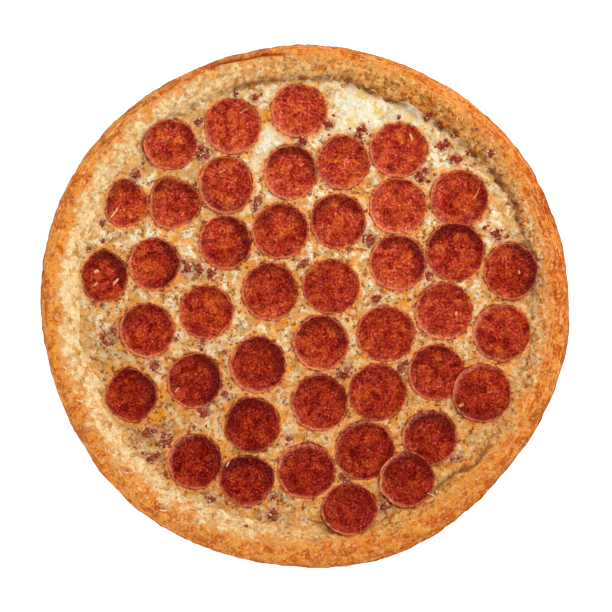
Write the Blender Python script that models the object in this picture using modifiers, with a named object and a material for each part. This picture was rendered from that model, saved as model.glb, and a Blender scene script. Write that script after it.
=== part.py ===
"""A whole round pepperoni pizza, uncut and lying flat, with its topping side up.

The pieces are the crust, a flat round of dough with a puffed rim, the sheet of melted cheese that fills it,
with crumbs of cooked meat baked into it, and forty-two slices of pepperoni, of which a few rest on their
neighbours. The model is in metres with +Z up, and the origin is the middle of the flat underside. Sizes are
named in millimetres and are turned into metres as each shape is made.
"""

import math
import random

import bmesh
import bpy
import numpy as np
from mathutils import Matrix, Vector, geometry, noise
from mathutils.bvhtree import BVHTree

MM = 0.001
GAP = 0.3  # left free between pieces that touch
MERGE_DISTANCE = 0.01

# Crust
OUTER_RADIUS = 174.0
CREST_RADIUS = 162.0
FOOT_RADIUS = 141.0  # where the rim's inner slope meets the flat floor
RIM_HEIGHT = 20.0
BULGE_HEIGHT = 7.0  # where the rim is widest
TUCK = 6.5  # how far the round lower edge draws in to the flat underside
FLOOR_HEIGHT = 5.0
SECTORS = 84
SLOPE_STEPS = 6
SHOULDER_STEPS = 5
TUCK_STEPS = 2

# Slow waves of the outline, of the crest's radius and of the crest's height: how many in a turn, their size,
# and where one has its top, in degrees
OUTLINE_WAVES = ((1, 0.5, 145), (2, 1.0, 174), (3, 0.9, 28), (5, 0.6, 5), (6, 0.5, 45), (7, 0.4, 34))
CREST_SHIFTS = ((1, 3.0, 95), (2, 0.8, 60), (3, 0.6, 80))
CREST_HEIGHTS = ((1, 0.6, 200), (3, 0.5, 13), (4, 0.5, 38), (9, 0.4, 7))
WAVES_START = 90.0  # inside this radius the dough isn't pushed outward
LUMP_SIZE = 13.0
LUMP_HEIGHT = 1.1
SIDEWAYS_SHARE = 0.5  # how much of a lump's height it also stands out to the side

# Cheese
CHEESE_THICKNESS = 2.4
CHEESE_BOTTOM = FLOOR_HEIGHT + GAP
SEAT_HEIGHT = CHEESE_BOTTOM + CHEESE_THICKNESS  # what a slice lies on
EDGE_GAP = 0.7  # between the cheese's edge and the rim's slope
EDGE_RISE = 0.9  # how far the cheese climbs the slope
EDGE_ROOM = 2.1  # this close to a slice, it stays below it
SWELL = 1.3  # how far the cheese swells up between the slices
SWELL_WIDTH = 3.5
SWELL_SIDES = 14
CURD_SIZE = 7.0
CURD_HEIGHT = 0.9
MOUND_PITCH = 5.6
MOST_SUPPORT = 1.4  # how far the cheese follows a slice that leans upward
SOFT_HEIGHT = 1.0  # how uneven the cheese is under the slices
SOFT_SIZE = 34.0
NET_MERGE = 0.05  # points of the cheese's net that lie this close become one

# Pepperoni: middle of each slice from the pizza's middle, then its width and depth
SLICES = (
    (-4.5, 129, 37, 35),
    (-48.5, 119, 37, 37),
    (-89.5, 107, 35, 34),
    (-52.5, 80, 36, 38),
    (-87, 68, 34, 34),
    (-118.5, 67.5, 28, 32),
    (-10, 88.5, 35, 36.5),
    (-53, 42, 35, 36),
    (-16.5, 49.5, 37, 37),
    (-133, 19.5, 30, 35),
    (-100, 27.5, 34, 35),
    (-23.5, 9.5, 37, 38),
    (-65.5, -4, 35.5, 35.5),
    (-105, -16, 36, 36),
    (61.5, 103, 38, 36),
    (25, 95, 34.5, 36),
    (61, 66, 38, 37),
    (101.5, 71, 38, 38),
    (21.5, 56, 37, 36.5),
    (99, 36, 38.5, 38.5),
    (61, 28.5, 37, 37),
    (136, 23, 36, 38),
    (17, 13, 38, 36),
    (91.5, -3.5, 37.5, 38),
    (130, -17.5, 38, 38),
    (53, -18.5, 38, 37),
    (10, -24.5, 36, 37),
    (86.5, -44, 37, 37.5),
    (116.5, -57.5, 38.5, 38.5),
    (47.5, -57, 38, 38),
    (9.5, -64, 37, 38),
    (82, -87, 36, 36.5),
    (39, -95.5, 39.5, 39),
    (67, -114.5, 36.5, 36.5),
    (0.5, -109, 38, 37),
    (29, -134.5, 37, 34.5),
    (-31.5, -39, 37, 37.5),
    (-73.5, -49.5, 36.5, 36.5),
    (-115, -59, 34, 35),
    (-35, -78.5, 36.5, 36.5),
    (-73, -103, 36, 37),
    (-39, -115.5, 37, 34),
)
RESTS_ON = {20: (18,), 29: (28,), 34: (32, 33), 41: (42,)}  # slice numbers, the upper one first
SLICE_THICKNESS = 2.0
SLICE_SIDES = 18
EDGE_ROUNDING = 1.2
CURL_WIDTH = 5.0  # the band inside the edge that has curled up in the oven
CURL = (0.4, 1.0)
EDGE_WAVES = (2, 3, 4)
UNEVENNESS = 0.02
ODD_SHAPES = {  # slices that aren't round: corners, how far they stand out, and the angle of one, in degrees
    5: (3, 0.06, 0),
    6: (3, 0.06, 105),
    10: (5, 0.035, 20),
    39: (4, 0.035, 10),
    42: (3, 0.04, 30),
}
SLICE_SEED = 42
UNDERSIDE_SHARE = 0.84  # how much of a slice's radius lies flat
CONTACT_SHARES = (1.0, 0.92, 0.84, 0.76, 0.68)  # rings at which a slice may touch what is under it
CONTACT_ANGLES = 24
STEEPEST = math.radians(24)
LEAN_STEPS = 32
LEAN_HEADINGS = 48

# Meat crumbs: the middle of each clump, and how many crumbs it has
CLUMPS = (
    (-34, 141, 3),
    (-70, 122, 1),
    (-71, 101, 3),
    (-112, 87, 1),
    (-137, 56, 2),
    (-78, 26, 3),
    (-61, 21, 2),
    (-31, 70, 2),
    (-2, 109, 1),
    (15, 120, 1),
    (35, 140, 1),
    (52, 138, 2),
    (38, 117, 2),
    (83, 124, 3),
    (91, 106, 1),
    (100, 97, 2),
    (76, 86, 2),
    (0, 29, 2),
    (42, 45, 1),
    (47, 5, 2),
    (126, 48, 2),
    (81, 20, 1),
    (-132, -24, 3),
    (-100, -40, 2),
    (-68, -24, 1),
    (-53, -58, 1),
    (-67, -71, 2),
    (-105, -84, 2),
    (-92, -90, 2),
    (-102, -101, 2),
    (-11, -88, 1),
    (-62, -127, 2),
    (-21, -126, 1),
    (-22, -140, 2),
    (27, -43, 2),
    (67, -37, 3),
    (25, -112, 2),
    (52, -133, 3),
    (101, -100, 2),
    (113, -101, 2),
    (143, -44, 1),
)
CRUMB_RADIUS = (2.1, 3.4)
SMALLEST_CRUMB = 1.5
CLUMP_SPREAD = 5.0  # how much farther out each next crumb of a clump may lie
CRUMB_TRIES = 8
CRUMB_SINK = 0.25  # how deep a crumb's middle lies under the cheese, as a share of its radius
CRUMB_STRETCH = (0.75, 1.0)
CRUMB_FLATNESS = 0.7
CRUMB_SEED = 7

COLOURS = {
    "crust": (0.68, 0.33, 0.09),
    "cheese": (0.86, 0.68, 0.36),
    "pepperoni": (0.42, 0.045, 0.015),
}
ROUGHNESS = {"crust": 0.75, "cheese": 0.42, "pepperoni": 0.35}


def clear_scene():
    for obj in list(bpy.data.objects):
        bpy.data.objects.remove(obj)


def new_collection(name):
    made = bpy.data.collections.new(name)
    bpy.context.scene.collection.children.link(made)
    return made


def new_object(name, mesh, collection):
    made = bpy.data.objects.new(name, mesh)
    collection.objects.link(made)
    return made


def food_material(name):
    material = bpy.data.materials.new(name)
    material.use_nodes = True
    shader = material.node_tree.nodes["Principled BSDF"]
    shader.inputs["Base Color"].default_value = (*COLOURS[name], 1)
    shader.inputs["Roughness"].default_value = ROUGHNESS[name]
    shader.inputs["Metallic"].default_value = 0
    return material


def smoothstep(share):
    share = min(max(share, 0.0), 1.0)
    return share * share * (3 - 2 * share)


def wave_sum(waves, angle):
    """Adds up waves round a turn. Each is a count, a size and the angle of its first top, in degrees."""
    return sum(size * math.cos(count * (angle - math.radians(top))) for count, size, top in waves)


def lumpy(x, y, z, size):
    """Smooth noise between about -1 and 1, with lumps of this size."""
    return 2 * noise.noise(Vector((x, y, z)) / size)


def risen(x, y, z):
    """Where the oven moves a point of the evenly turned dough: outward in slow waves, and up in lumps."""
    radius, angle = math.hypot(x, y), math.atan2(y, x)
    outward = smoothstep((radius - WAVES_START) / (OUTER_RADIUS - WAVES_START))
    upward = smoothstep((z - FLOOR_HEIGHT) / (RIM_HEIGHT - FLOOR_HEIGHT))
    inner = smoothstep((radius - FOOT_RADIUS) / (CREST_RADIUS - FOOT_RADIUS))
    inner *= smoothstep((OUTER_RADIUS - radius) / (OUTER_RADIUS - CREST_RADIUS)) * smoothstep(z / FLOOR_HEIGHT)
    lump = LUMP_HEIGHT * lumpy(x, y, z, LUMP_SIZE)
    stretched = radius + outward * wave_sum(OUTLINE_WAVES, angle) + inner * wave_sum(CREST_SHIFTS, angle)
    stretched += upward * SIDEWAYS_SHARE * lump
    lifted = z + upward * (wave_sum(CREST_HEIGHTS, angle) + lump)
    return stretched * math.cos(angle), stretched * math.sin(angle), lifted


def slope_point(share):
    """A point of the rim's inner slope, from its foot at 0 to the crest at 1, as radius and height."""
    radius = FOOT_RADIUS + (CREST_RADIUS - FOOT_RADIUS) * share
    height = FLOOR_HEIGHT + (RIM_HEIGHT - FLOOR_HEIGHT) * (1 - math.cos(math.pi * share)) / 2
    return radius, height


def slope_radius(height):
    """The radius at which the rim's inner slope, made of straight steps, has this height."""
    steps = [slope_point(step / SLOPE_STEPS) for step in range(SLOPE_STEPS + 1)]
    for (inner, low), (outer, high) in zip(steps, steps[1:]):
        if height <= high:
            return inner + (outer - inner) * (height - low) / (high - low)
    return CREST_RADIUS


def quarter(middle, reach, start, end, steps):
    """Points on an ellipse about middle, from just after the start angle to the end angle, in degrees."""
    for step in range(1, steps + 1):
        angle = math.radians(start + (end - start) * step / steps)
        yield middle[0] + reach[0] * math.cos(angle), middle[1] + reach[1] * math.sin(angle)


def crust_section():
    """Half of the section through the even dough, from the middle of its top to the middle of its underside."""
    section = [(0, FLOOR_HEIGHT)]
    section += [slope_point(step / SLOPE_STEPS) for step in range(SLOPE_STEPS + 1)]
    shoulder = (OUTER_RADIUS - CREST_RADIUS, RIM_HEIGHT - BULGE_HEIGHT)
    section += quarter((CREST_RADIUS, BULGE_HEIGHT), shoulder, 90, 0, SHOULDER_STEPS)
    section += quarter((OUTER_RADIUS - TUCK, BULGE_HEIGHT), (TUCK, BULGE_HEIGHT), 0, -90, TUCK_STEPS)
    return section + [(0, 0)]


def turned(name, section, steps, collection):
    """A section of radii and heights, turned once round the Z axis into one mesh."""
    mesh = bpy.data.meshes.new(name)
    points = [(radius * MM, 0, height * MM) for radius, height in section]
    mesh.from_pydata(points, [(i, i + 1) for i in range(len(points) - 1)], [])
    profile = new_object(name + "_profile", mesh, collection)
    screw = profile.modifiers.new("turn", "SCREW")
    screw.steps = screw.render_steps = steps
    screw.use_merge_vertices = True
    screw.merge_threshold = MERGE_DISTANCE * MM
    graph = bpy.context.evaluated_depsgraph_get()
    solid = bpy.data.meshes.new_from_object(profile.evaluated_get(graph))
    bpy.data.objects.remove(profile)
    return solid


def make_crust(collection):
    mesh = turned("crust", crust_section(), SECTORS, collection)
    for vertex in mesh.vertices:
        vertex.co = Vector(risen(*(vertex.co / MM))) * MM
    mesh.shade_smooth()
    mesh.set_sharp_from_angle(angle=math.radians(50))
    return new_object("crust", mesh, collection)


class Slice:
    """Where one slice of pepperoni lies, its outline, and the plane of its underside."""

    def __init__(self, number, place, rng):
        self.number = number
        self.x, self.y, width, depth = place
        self.half = (width / 2, depth / 2)
        self.radius = max(self.half)
        self.curl = rng.uniform(*CURL)
        sizes = [UNEVENNESS * rng.uniform(0.3, 1) / count for count in EDGE_WAVES]
        self.waves = [(count, size, rng.uniform(0, 360)) for count, size in zip(EDGE_WAVES, sizes)]
        if number in ODD_SHAPES:
            self.waves.append(ODD_SHAPES[number])
        self.slope = Vector((0, 0))
        self.height = SEAT_HEIGHT + GAP

    def outline(self, angle):
        """The distance from the middle to the edge at this angle."""
        across, along = self.half
        ellipse = across * along / math.hypot(along * math.cos(angle), across * math.sin(angle))
        return ellipse * (1 + wave_sum(self.waves, angle))

    def beyond(self, x, y):
        """How far a point lies outside the edge, or less than 0 inside it."""
        away = Vector((x - self.x, y - self.y))
        return away.length - self.outline(math.atan2(away.y, away.x))

    def underside(self, x, y):
        """The height of the plane that the flat part of the underside lies in."""
        return self.height + self.slope.dot(Vector((x - self.x, y - self.y)))

    def settle(self, crust, lower):
        """Lets the slice lie as low as it can on the cheese, the rim and the slices below it, leaning as it must."""
        places, needed = [], []
        for share in CONTACT_SHARES:
            lifted = max(share - UNDERSIDE_SHARE, 0) / (1 - UNDERSIDE_SHARE) * (self.curl + SLICE_THICKNESS / 2)
            for step in range(CONTACT_ANGLES):
                angle = math.tau * step / CONTACT_ANGLES
                reach = share * self.outline(angle)
                away = (reach * math.cos(angle), reach * math.sin(angle))
                places.append(away)
                needed.append(support_height(self.x + away[0], self.y + away[1], crust, lower) + GAP - lifted)
        places, needed = np.array(places), np.array(needed)
        leans = np.tan(np.linspace(0, STEEPEST, LEAN_STEPS))
        headings = np.linspace(0, math.tau, LEAN_HEADINGS, endpoint=False)
        slopes = np.array([(lean * math.cos(way), lean * math.sin(way)) for lean in leans for way in headings])
        heights = (needed - slopes @ places.T).max(axis=1)
        lowest = heights.argmin()
        self.slope, self.height = Vector(slopes[lowest]), float(heights[lowest])


def support_height(x, y, crust, lower):
    """The height of what a slice would touch here: the soft cheese, the crust, or a slice below it."""
    soft = SEAT_HEIGHT + SOFT_HEIGHT * max(lumpy(x, y, SEAT_HEIGHT, SOFT_SIZE), 0)
    hit = crust.ray_cast(Vector((x * MM, y * MM, 1)), Vector((0, 0, -1)))[0]
    heights = [soft, hit.z / MM]
    for other in lower:
        if other.beyond(x, y) < GAP:
            heights.append(other.underside(x, y) + SLICE_THICKNESS + other.curl)
    return max(heights)


def lay_slices(crust):
    rng = random.Random(SLICE_SEED)
    tree = BVHTree.FromObject(crust, bpy.context.evaluated_depsgraph_get())
    slices = [Slice(number, place, rng) for number, place in enumerate(SLICES, start=1)]
    for piece in sorted(slices, key=lambda piece: piece.number in RESTS_ON):
        lower = [slices[other - 1] for other in RESTS_ON.get(piece.number, ())]
        piece.settle(tree, lower)
    return slices


def slice_rings(piece):
    """The rings of a slice above its flat underside: how far in from the edge each lies, and its height."""
    top = SLICE_THICKNESS
    return (
        (0.0, piece.curl + top / 2),
        (EDGE_ROUNDING, piece.curl + top),
        (CURL_WIDTH, top),
    )


def make_slice(piece, collection):
    """A disc whose top is inset twice, once for the round edge and once for the band that curls up."""
    bm = bmesh.new()
    edge, crest, hollow = slice_rings(piece)
    bmesh.ops.create_cone(
        bm, cap_ends=True, segments=SLICE_SIDES, radius1=UNDERSIDE_SHARE, radius2=1, depth=edge[1] * MM
    )
    bmesh.ops.translate(bm, vec=(0, 0, edge[1] * MM / 2), verts=bm.verts)
    top = max(bm.faces, key=lambda face: face.calc_center_median().z)
    for inset, height in (crest, hollow):
        bmesh.ops.inset_individual(bm, faces=[top], thickness=0.001)
        for vertex in top.verts:
            flat = vertex.co.xy.normalized() * (1 - inset / piece.radius)
            vertex.co = (flat.x, flat.y, height * MM)
    for vertex in bm.verts:
        edge_here = piece.outline(math.atan2(vertex.co.y, vertex.co.x))
        vertex.co.xy *= edge_here * MM
    mesh = bpy.data.meshes.new(f"pepperoni_{piece.number:02d}")
    bm.to_mesh(mesh)
    bm.free()
    mesh.shade_smooth()
    mesh.set_sharp_from_angle(angle=math.radians(60))
    made = new_object(mesh.name, mesh, collection)
    normal = Vector((-piece.slope.x, -piece.slope.y, 1))
    made.rotation_euler = Vector((0, 0, 1)).rotation_difference(normal).to_euler()
    made.location = Vector((piece.x, piece.y, piece.height)) * MM
    return made


def cheese_height(x, y, slices):
    """The top of the cheese: close under each slice, and swelling up in curds between them."""
    near = min(slices, key=lambda piece: piece.beyond(x, y))
    away = near.beyond(x, y) - EDGE_GAP
    support = min(piece.underside(x, y) for piece in slices if piece.beyond(x, y) <= max(away, 0) + 2 * EDGE_GAP)
    level = min(support - GAP, SEAT_HEIGHT + MOST_SUPPORT)
    swell = smoothstep(away / SWELL_WIDTH)
    return level + swell * (SWELL + CURD_HEIGHT * lumpy(x, y, 0, CURD_SIZE))


def edge_point(angle, height):
    """A point of the cheese's edge, which keeps a gap to the rim's slope."""
    radius = slope_radius(height) - EDGE_GAP
    return Vector(risen(radius * math.cos(angle), radius * math.sin(angle), height))


def top_edge_points(slices):
    """The top of the cheese's edge, a little up the slope except where a slice lies over it."""
    for sector in range(SECTORS):
        angle = math.tau * sector / SECTORS
        free = edge_point(angle, SEAT_HEIGHT + EDGE_RISE)
        over = [piece.underside(free.x, free.y) for piece in slices if piece.beyond(free.x, free.y) < EDGE_ROOM]
        height = min([SEAT_HEIGHT + EDGE_RISE] + [height - GAP for height in over])
        yield edge_point(angle, height)


def seat_ring(piece, slices, gap, count):
    """Points round a slice at this gap, leaving out those that another slice needs for itself."""
    for step in range(count):
        angle = math.tau * step / count
        reach = piece.outline(angle) + gap
        point = Vector((piece.x + reach * math.cos(angle), piece.y + reach * math.sin(angle)))
        others = [other for other in slices if other is not piece]
        if all(other.beyond(*point) > min(gap, EDGE_GAP) for other in others):
            yield point


def mound_points(slices, reach):
    """An even, staggered grid over the open cheese, clear of the slices and of the edge."""
    rows = int(reach / MOUND_PITCH) + 1
    for row in range(-rows, rows + 1):
        for column in range(-rows, rows + 1):
            x = (column + 0.5 * (row % 2)) * MOUND_PITCH
            y = row * MOUND_PITCH * math.sqrt(3) / 2
            clear = min(piece.beyond(x, y) for piece in slices)
            if math.hypot(x, y) < reach and clear > SWELL_WIDTH + EDGE_GAP:
                yield Vector((x, y))


def cheese_solid(slices):
    """A sheet of cheese: a triangle net over the points that matter on top, a slanted edge and a flat base."""
    top_edge = list(top_edge_points(slices))
    inner = []
    for piece in slices:
        inner += seat_ring(piece, slices, EDGE_GAP, SLICE_SIDES)
        inner += seat_ring(piece, slices, SWELL_WIDTH, SWELL_SIDES)
    reach = slope_radius(SEAT_HEIGHT) - SWELL_WIDTH
    inner = [point for point in inner if point.length < reach]
    inner += mound_points(slices, reach)
    outline = [point.xy for point in top_edge]
    keep_inside = 1  # of the triangles, only those within the outline
    net = geometry.delaunay_2d_cdt(outline + inner, [], [list(range(len(outline)))], keep_inside, NET_MERGE)
    points, faces = net[0], net[2]
    bm = bmesh.new()
    top = [bm.verts.new(point) for point in top_edge]
    for point in points[SECTORS:]:
        top.append(bm.verts.new((point.x, point.y, cheese_height(point.x, point.y, slices))))
    for face in faces:
        bm.faces.new([top[i] for i in face])
    base = [bm.verts.new(edge_point(math.tau * i / SECTORS, CHEESE_BOTTOM)) for i in range(SECTORS)]
    for i in range(SECTORS):
        after = (i + 1) % SECTORS
        bm.faces.new((top[i], base[i], base[after], top[after]))
    for vertex in base:
        vertex.co.z = CHEESE_BOTTOM
    bm.faces.new(reversed(base))
    bmesh.ops.scale(bm, vec=(MM, MM, MM), verts=bm.verts)
    bmesh.ops.recalc_face_normals(bm, faces=bm.faces)
    mesh = bpy.data.meshes.new("cheese")
    bm.to_mesh(mesh)
    bm.free()
    return mesh


def room_at(place, slices, crumbs):
    """The largest radius that a crumb can have here, clear of the slices, the rim and the crumbs so far."""
    rim = edge_point(math.atan2(place.y, place.x), SEAT_HEIGHT).xy.length - place.length
    clear = min(rim, min(piece.beyond(*place) for piece in slices)) - GAP
    return min([clear] + [(place - other).length - size for other, size in crumbs])


def crumb_places(slices):
    """Where the meat crumbs lie and their radii: each clump grows from its middle, as far as there is room."""
    rng = random.Random(CRUMB_SEED)
    crumbs = []
    for x, y, count in CLUMPS:
        for number in range(count):
            radius = rng.uniform(*CRUMB_RADIUS)
            tries = []
            for _ in range(CRUMB_TRIES):
                away, heading = rng.uniform(0, CLUMP_SPREAD * number), rng.uniform(0, math.tau)
                place = Vector((x + away * math.cos(heading), y + away * math.sin(heading)))
                tries.append((room_at(place, slices, crumbs), place))
            room, place = max(tries, key=lambda found: min(found[0], radius))
            if room > SMALLEST_CRUMB:
                crumbs.append((place, min(radius, room)))
    return crumbs


def make_crumb(place, radius, height, rng, collection):
    """One crumb: a small uneven ball, turned at random and sunk partly into the cheese."""
    bm = bmesh.new()
    bmesh.ops.create_icosphere(bm, subdivisions=1, radius=radius * MM)
    stretch = [rng.uniform(*CRUMB_STRETCH) for _ in range(3)]
    bmesh.ops.scale(bm, vec=stretch, verts=bm.verts)
    turn = Matrix.Rotation(rng.uniform(0, math.tau), 4, "Z") @ Matrix.Rotation(rng.uniform(0, math.pi), 4, "X")
    bmesh.ops.transform(bm, matrix=turn, verts=bm.verts)
    bmesh.ops.scale(bm, vec=(1, 1, CRUMB_FLATNESS), verts=bm.verts)
    lowest = CHEESE_BOTTOM + GAP + CRUMB_FLATNESS * radius
    middle = Vector((*place, max(height - CRUMB_SINK * radius, lowest)))
    bmesh.ops.translate(bm, vec=middle * MM, verts=bm.verts)
    mesh = bpy.data.meshes.new("crumb")
    bm.to_mesh(mesh)
    bm.free()
    return new_object("crumb", mesh, collection)


def make_cheese(slices, collection):
    """The cheese sheet, with the crumbs joined to it."""
    rng = random.Random(CRUMB_SEED)
    crumbs = new_collection("crumbs")
    for place, radius in crumb_places(slices):
        make_crumb(place, radius, cheese_height(*place, slices), rng, crumbs)
    sheet = new_object("cheese_sheet", cheese_solid(slices), collection)
    join = sheet.modifiers.new("bake in crumbs", "BOOLEAN")
    join.operation = "UNION"
    join.operand_type = "COLLECTION"
    join.collection = crumbs
    join.solver = "EXACT"
    graph = bpy.context.evaluated_depsgraph_get()
    mesh = bpy.data.meshes.new_from_object(sheet.evaluated_get(graph))
    for helper in [sheet, *crumbs.objects]:
        bpy.data.objects.remove(helper)
    bpy.data.collections.remove(crumbs)
    mesh.shade_smooth()
    mesh.set_sharp_from_angle(angle=math.radians(40))
    return new_object("cheese", mesh, collection)


def main():
    clear_scene()
    pizza = new_collection("pepperoni pizza")
    materials = {name: food_material(name) for name in COLOURS}
    crust = make_crust(pizza)
    slices = lay_slices(crust)
    made = {
        "crust": [crust],
        "cheese": [make_cheese(slices, pizza)],
        "pepperoni": [make_slice(piece, pizza) for piece in slices],
    }
    for name, objects in made.items():
        for obj in objects:
            obj.data.materials.clear()
            obj.data.materials.append(materials[name])


main()
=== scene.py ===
# %% [markdown]
# # Dressing a pepperoni pizza for its picture
#
# The solids that this lesson loads have the pizza's main shapes: a puffed crust, a sheet of cheese with
# crumbs of meat, and forty-two slices. They are made of flat faces and have no colour worth looking at.
# Each is replaced here by a finely divided piece of the same form, which carries the small relief and the
# finish of baked food. Lengths are in millimetres, and they become metres only where a mesh is made.

# %% Load the frame
import math
import random

import bmesh
import bpy
import numpy as np
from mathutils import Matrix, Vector, noise
from mathutils.bvhtree import BVHTree


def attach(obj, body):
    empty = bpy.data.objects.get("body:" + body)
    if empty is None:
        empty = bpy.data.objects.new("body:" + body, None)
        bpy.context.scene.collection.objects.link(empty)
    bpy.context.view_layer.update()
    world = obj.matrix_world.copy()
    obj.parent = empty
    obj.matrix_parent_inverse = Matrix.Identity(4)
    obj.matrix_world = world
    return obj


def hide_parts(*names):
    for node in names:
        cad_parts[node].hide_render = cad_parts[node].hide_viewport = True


MM = 0.001
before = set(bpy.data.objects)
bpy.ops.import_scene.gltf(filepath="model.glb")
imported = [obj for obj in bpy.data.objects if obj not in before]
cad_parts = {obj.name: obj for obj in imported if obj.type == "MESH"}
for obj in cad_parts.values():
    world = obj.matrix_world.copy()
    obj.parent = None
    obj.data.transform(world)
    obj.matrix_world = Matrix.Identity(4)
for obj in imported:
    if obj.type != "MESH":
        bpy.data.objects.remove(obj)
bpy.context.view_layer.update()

# %% [markdown]
# ## The camera
#
# The picture looks straight down. A long lens from far away keeps the crust's sides hidden all round, as
# they are there, where a short lens would show the rim leaning outward. Its distance follows from how wide
# the picture is at the height of the topping.

# %% Place the camera
VIEW_WIDTH = 404.2
AIM = (0.5, 0.1, 12.0)
LENS = 150.0
FARTHEST = 10  # metres

camera = bpy.data.objects.new("camera", bpy.data.cameras.new("camera"))
bpy.context.scene.collection.objects.link(camera)
camera.data.lens = LENS
distance = VIEW_WIDTH * LENS / camera.data.sensor_width
camera.location = Vector((AIM[0], AIM[1], AIM[2] + distance)) * MM
camera.data.clip_end = FARTHEST
bpy.context.scene.camera = camera
print(f"camera {distance / 1000:.2f} m above the topping")

# %% [markdown]
# ## Light
#
# One large soft lamp stands to the upper right, so the lower left of the rim's inner slope shines and the
# upper right of it falls into shade. A weak lamp at the lower left keeps that shade warm and clear. A white
# surround fills the shadows, but it is dark straight overhead, where the camera is. A flat, oily slice
# mirrors that dark patch and keeps its deep red, and only lips and curds that face aside catch a highlight.
# An evenly bright surround would lay a grey haze over every colour.

# %% Set up the lamps
KEY_WATTS = 16.0
KEY_SIZE = 0.75
KEY_FROM = (0.62, 0.74, 1.3)  # metres
FILL_WATTS = 4.0
FILL_FROM = (-1.0, -0.85, 0.6)
SURROUND, DARKEST = 0.95, 0.05
OVERHEAD = (0.5, 0.88)  # from where to where the surround darkens, as the height of a direction


def add_lamp(name, place, watts, size):
    lamp = bpy.data.objects.new(name, bpy.data.lights.new(name, "AREA"))
    bpy.context.scene.collection.objects.link(lamp)
    lamp.data.energy, lamp.data.size = watts, size
    lamp.location = place
    lamp.rotation_euler = (-Vector(place)).to_track_quat("-Z", "Y").to_euler()


add_lamp("key", KEY_FROM, KEY_WATTS, KEY_SIZE)
add_lamp("fill", FILL_FROM, FILL_WATTS, KEY_SIZE)
world = bpy.data.worlds.new("surround")
world.use_nodes = True
world.node_tree.nodes["Background"].inputs["Color"].default_value = (1, 1, 1, 1)
sky = world.node_tree.nodes.new("ShaderNodeTexCoord")
split = world.node_tree.nodes.new("ShaderNodeSeparateXYZ")
fade = world.node_tree.nodes.new("ShaderNodeMapRange")
for name, value in zip(("From Min", "From Max", "To Min", "To Max"), (*OVERHEAD, SURROUND, DARKEST)):
    fade.inputs[name].default_value = value
world.node_tree.links.new(sky.outputs["Generated"], split.inputs[0])
world.node_tree.links.new(split.outputs["Z"], fade.inputs["Value"])
world.node_tree.links.new(fade.outputs[0], world.node_tree.nodes["Background"].inputs["Strength"])
bpy.context.scene.world = world
bpy.context.scene.view_settings.view_transform = "Standard"
print("key and fill lamps, and a white surround")

# %% [markdown]
# ## Helpers for form
#
# Food is uneven at many sizes at once. Smooth noise, looked up at a point divided by a size, gives lumps of
# that size, and a few of them added together give most of the relief here. The first lookup with no shift
# is the one that shaped the solids, so the fine pieces rise and fall where the solids do.


# %% Name the helpers
def smoothstep(share):
    share = np.clip(share, 0.0, 1.0)
    return share * share * (3 - 2 * share)


def wave_sum(waves, angle):
    """Adds up waves round a turn. Each is a count, a size and the angle of its first top, in degrees."""
    return sum(size * np.cos(count * (angle - math.radians(top))) for count, size, top in waves)


def lumps(points, size, shift=0):
    """Smooth noise between about -1 and 1 at each point, with lumps of this size."""
    moved = np.asarray(points, dtype=float) / size + shift * np.array((17.3, -9.1, 5.7))
    return np.array([2 * noise.noise(Vector(point)) for point in moved])


def on_plane(x, y, height=0.0):
    """Points at these places, all at one height."""
    return np.stack((x, y, np.full(len(x), height)), axis=1)


def toward(angle, heading):
    """How much each angle faces a heading in degrees: 1 towards it, and -1 away from it."""
    return np.cos(angle - math.radians(heading))


def bell(distance, width):
    """A soft ridge: 1 at no distance, and nearly 0 from twice the width."""
    return np.exp(-((distance / width) ** 2))


def new_piece(name, points, faces, nodes=()):
    """A smooth mesh from points in millimetres, which rides on the pizza and may stand for solids."""
    mesh = bpy.data.meshes.new(name)
    mesh.from_pydata((np.asarray(points) * MM).tolist(), [], faces)
    mesh.shade_smooth()
    piece = bpy.data.objects.new(name, mesh)
    bpy.context.scene.collection.objects.link(piece)
    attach(piece, "root")
    if nodes:
        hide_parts(*nodes)
    return piece


def note(piece, name, values):
    """Keeps a value or a vector for every point of a mesh, for its finish to read."""
    values = np.asarray(values, dtype=np.float32)
    kind, field = ("FLOAT", "value") if values.ndim == 1 else ("FLOAT_VECTOR", "vector")
    attribute = piece.data.attributes.new(name, kind, "POINT")
    attribute.data.foreach_set(field, values.ravel())


def net(rows, columns, start=0, closed=True):
    """Quads between rows of points that each go round a turn."""
    faces = []
    for row in range(rows - 1):
        low, high = start + row * columns, start + (row + 1) * columns
        for i in range(columns if closed else columns - 1):
            after = (i + 1) % columns
            faces.append((low + i, low + after, high + after, high + i))
    return faces


print("helpers for noise, meshes and notes")

# %% [markdown]
# ## Helpers for finishes
#
# A finish is a chain of steps: start with a colour, then lay other colours over it through masks. Each step
# is a node. These functions add one node each and hand on its output, so steps can be written inside one
# another.


# %% Name the steps
def rgb(red, green, blue):
    """A screen colour of 0 to 255 as the linear colour that a shader takes."""
    shares = [value / 255 for value in (red, green, blue)]
    return (*[s / 12.92 if s <= 0.04045 else ((s + 0.055) / 1.055) ** 2.4 for s in shares], 1)


def plug(tree, socket, value):
    if isinstance(value, bpy.types.NodeSocket):
        tree.links.new(value, socket)
    else:
        socket.default_value = value


def step(tree, kind, inputs, output=0, **settings):
    """Adds one node, fills its inputs and gives back one output."""
    node = tree.nodes.new(kind)
    for name, value in settings.items():
        setattr(node, name, value)
    for name, value in inputs.items():
        plug(tree, node.inputs[name], value)
    return node.outputs[output]


def calc(tree, operation, *values, clamp=False):
    return step(tree, "ShaderNodeMath", dict(enumerate(values)), operation=operation, use_clamp=clamp)


def vector(tree, operation, *values, **named):
    return step(tree, "ShaderNodeVectorMath", dict(enumerate(values)) | named, operation=operation)


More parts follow.
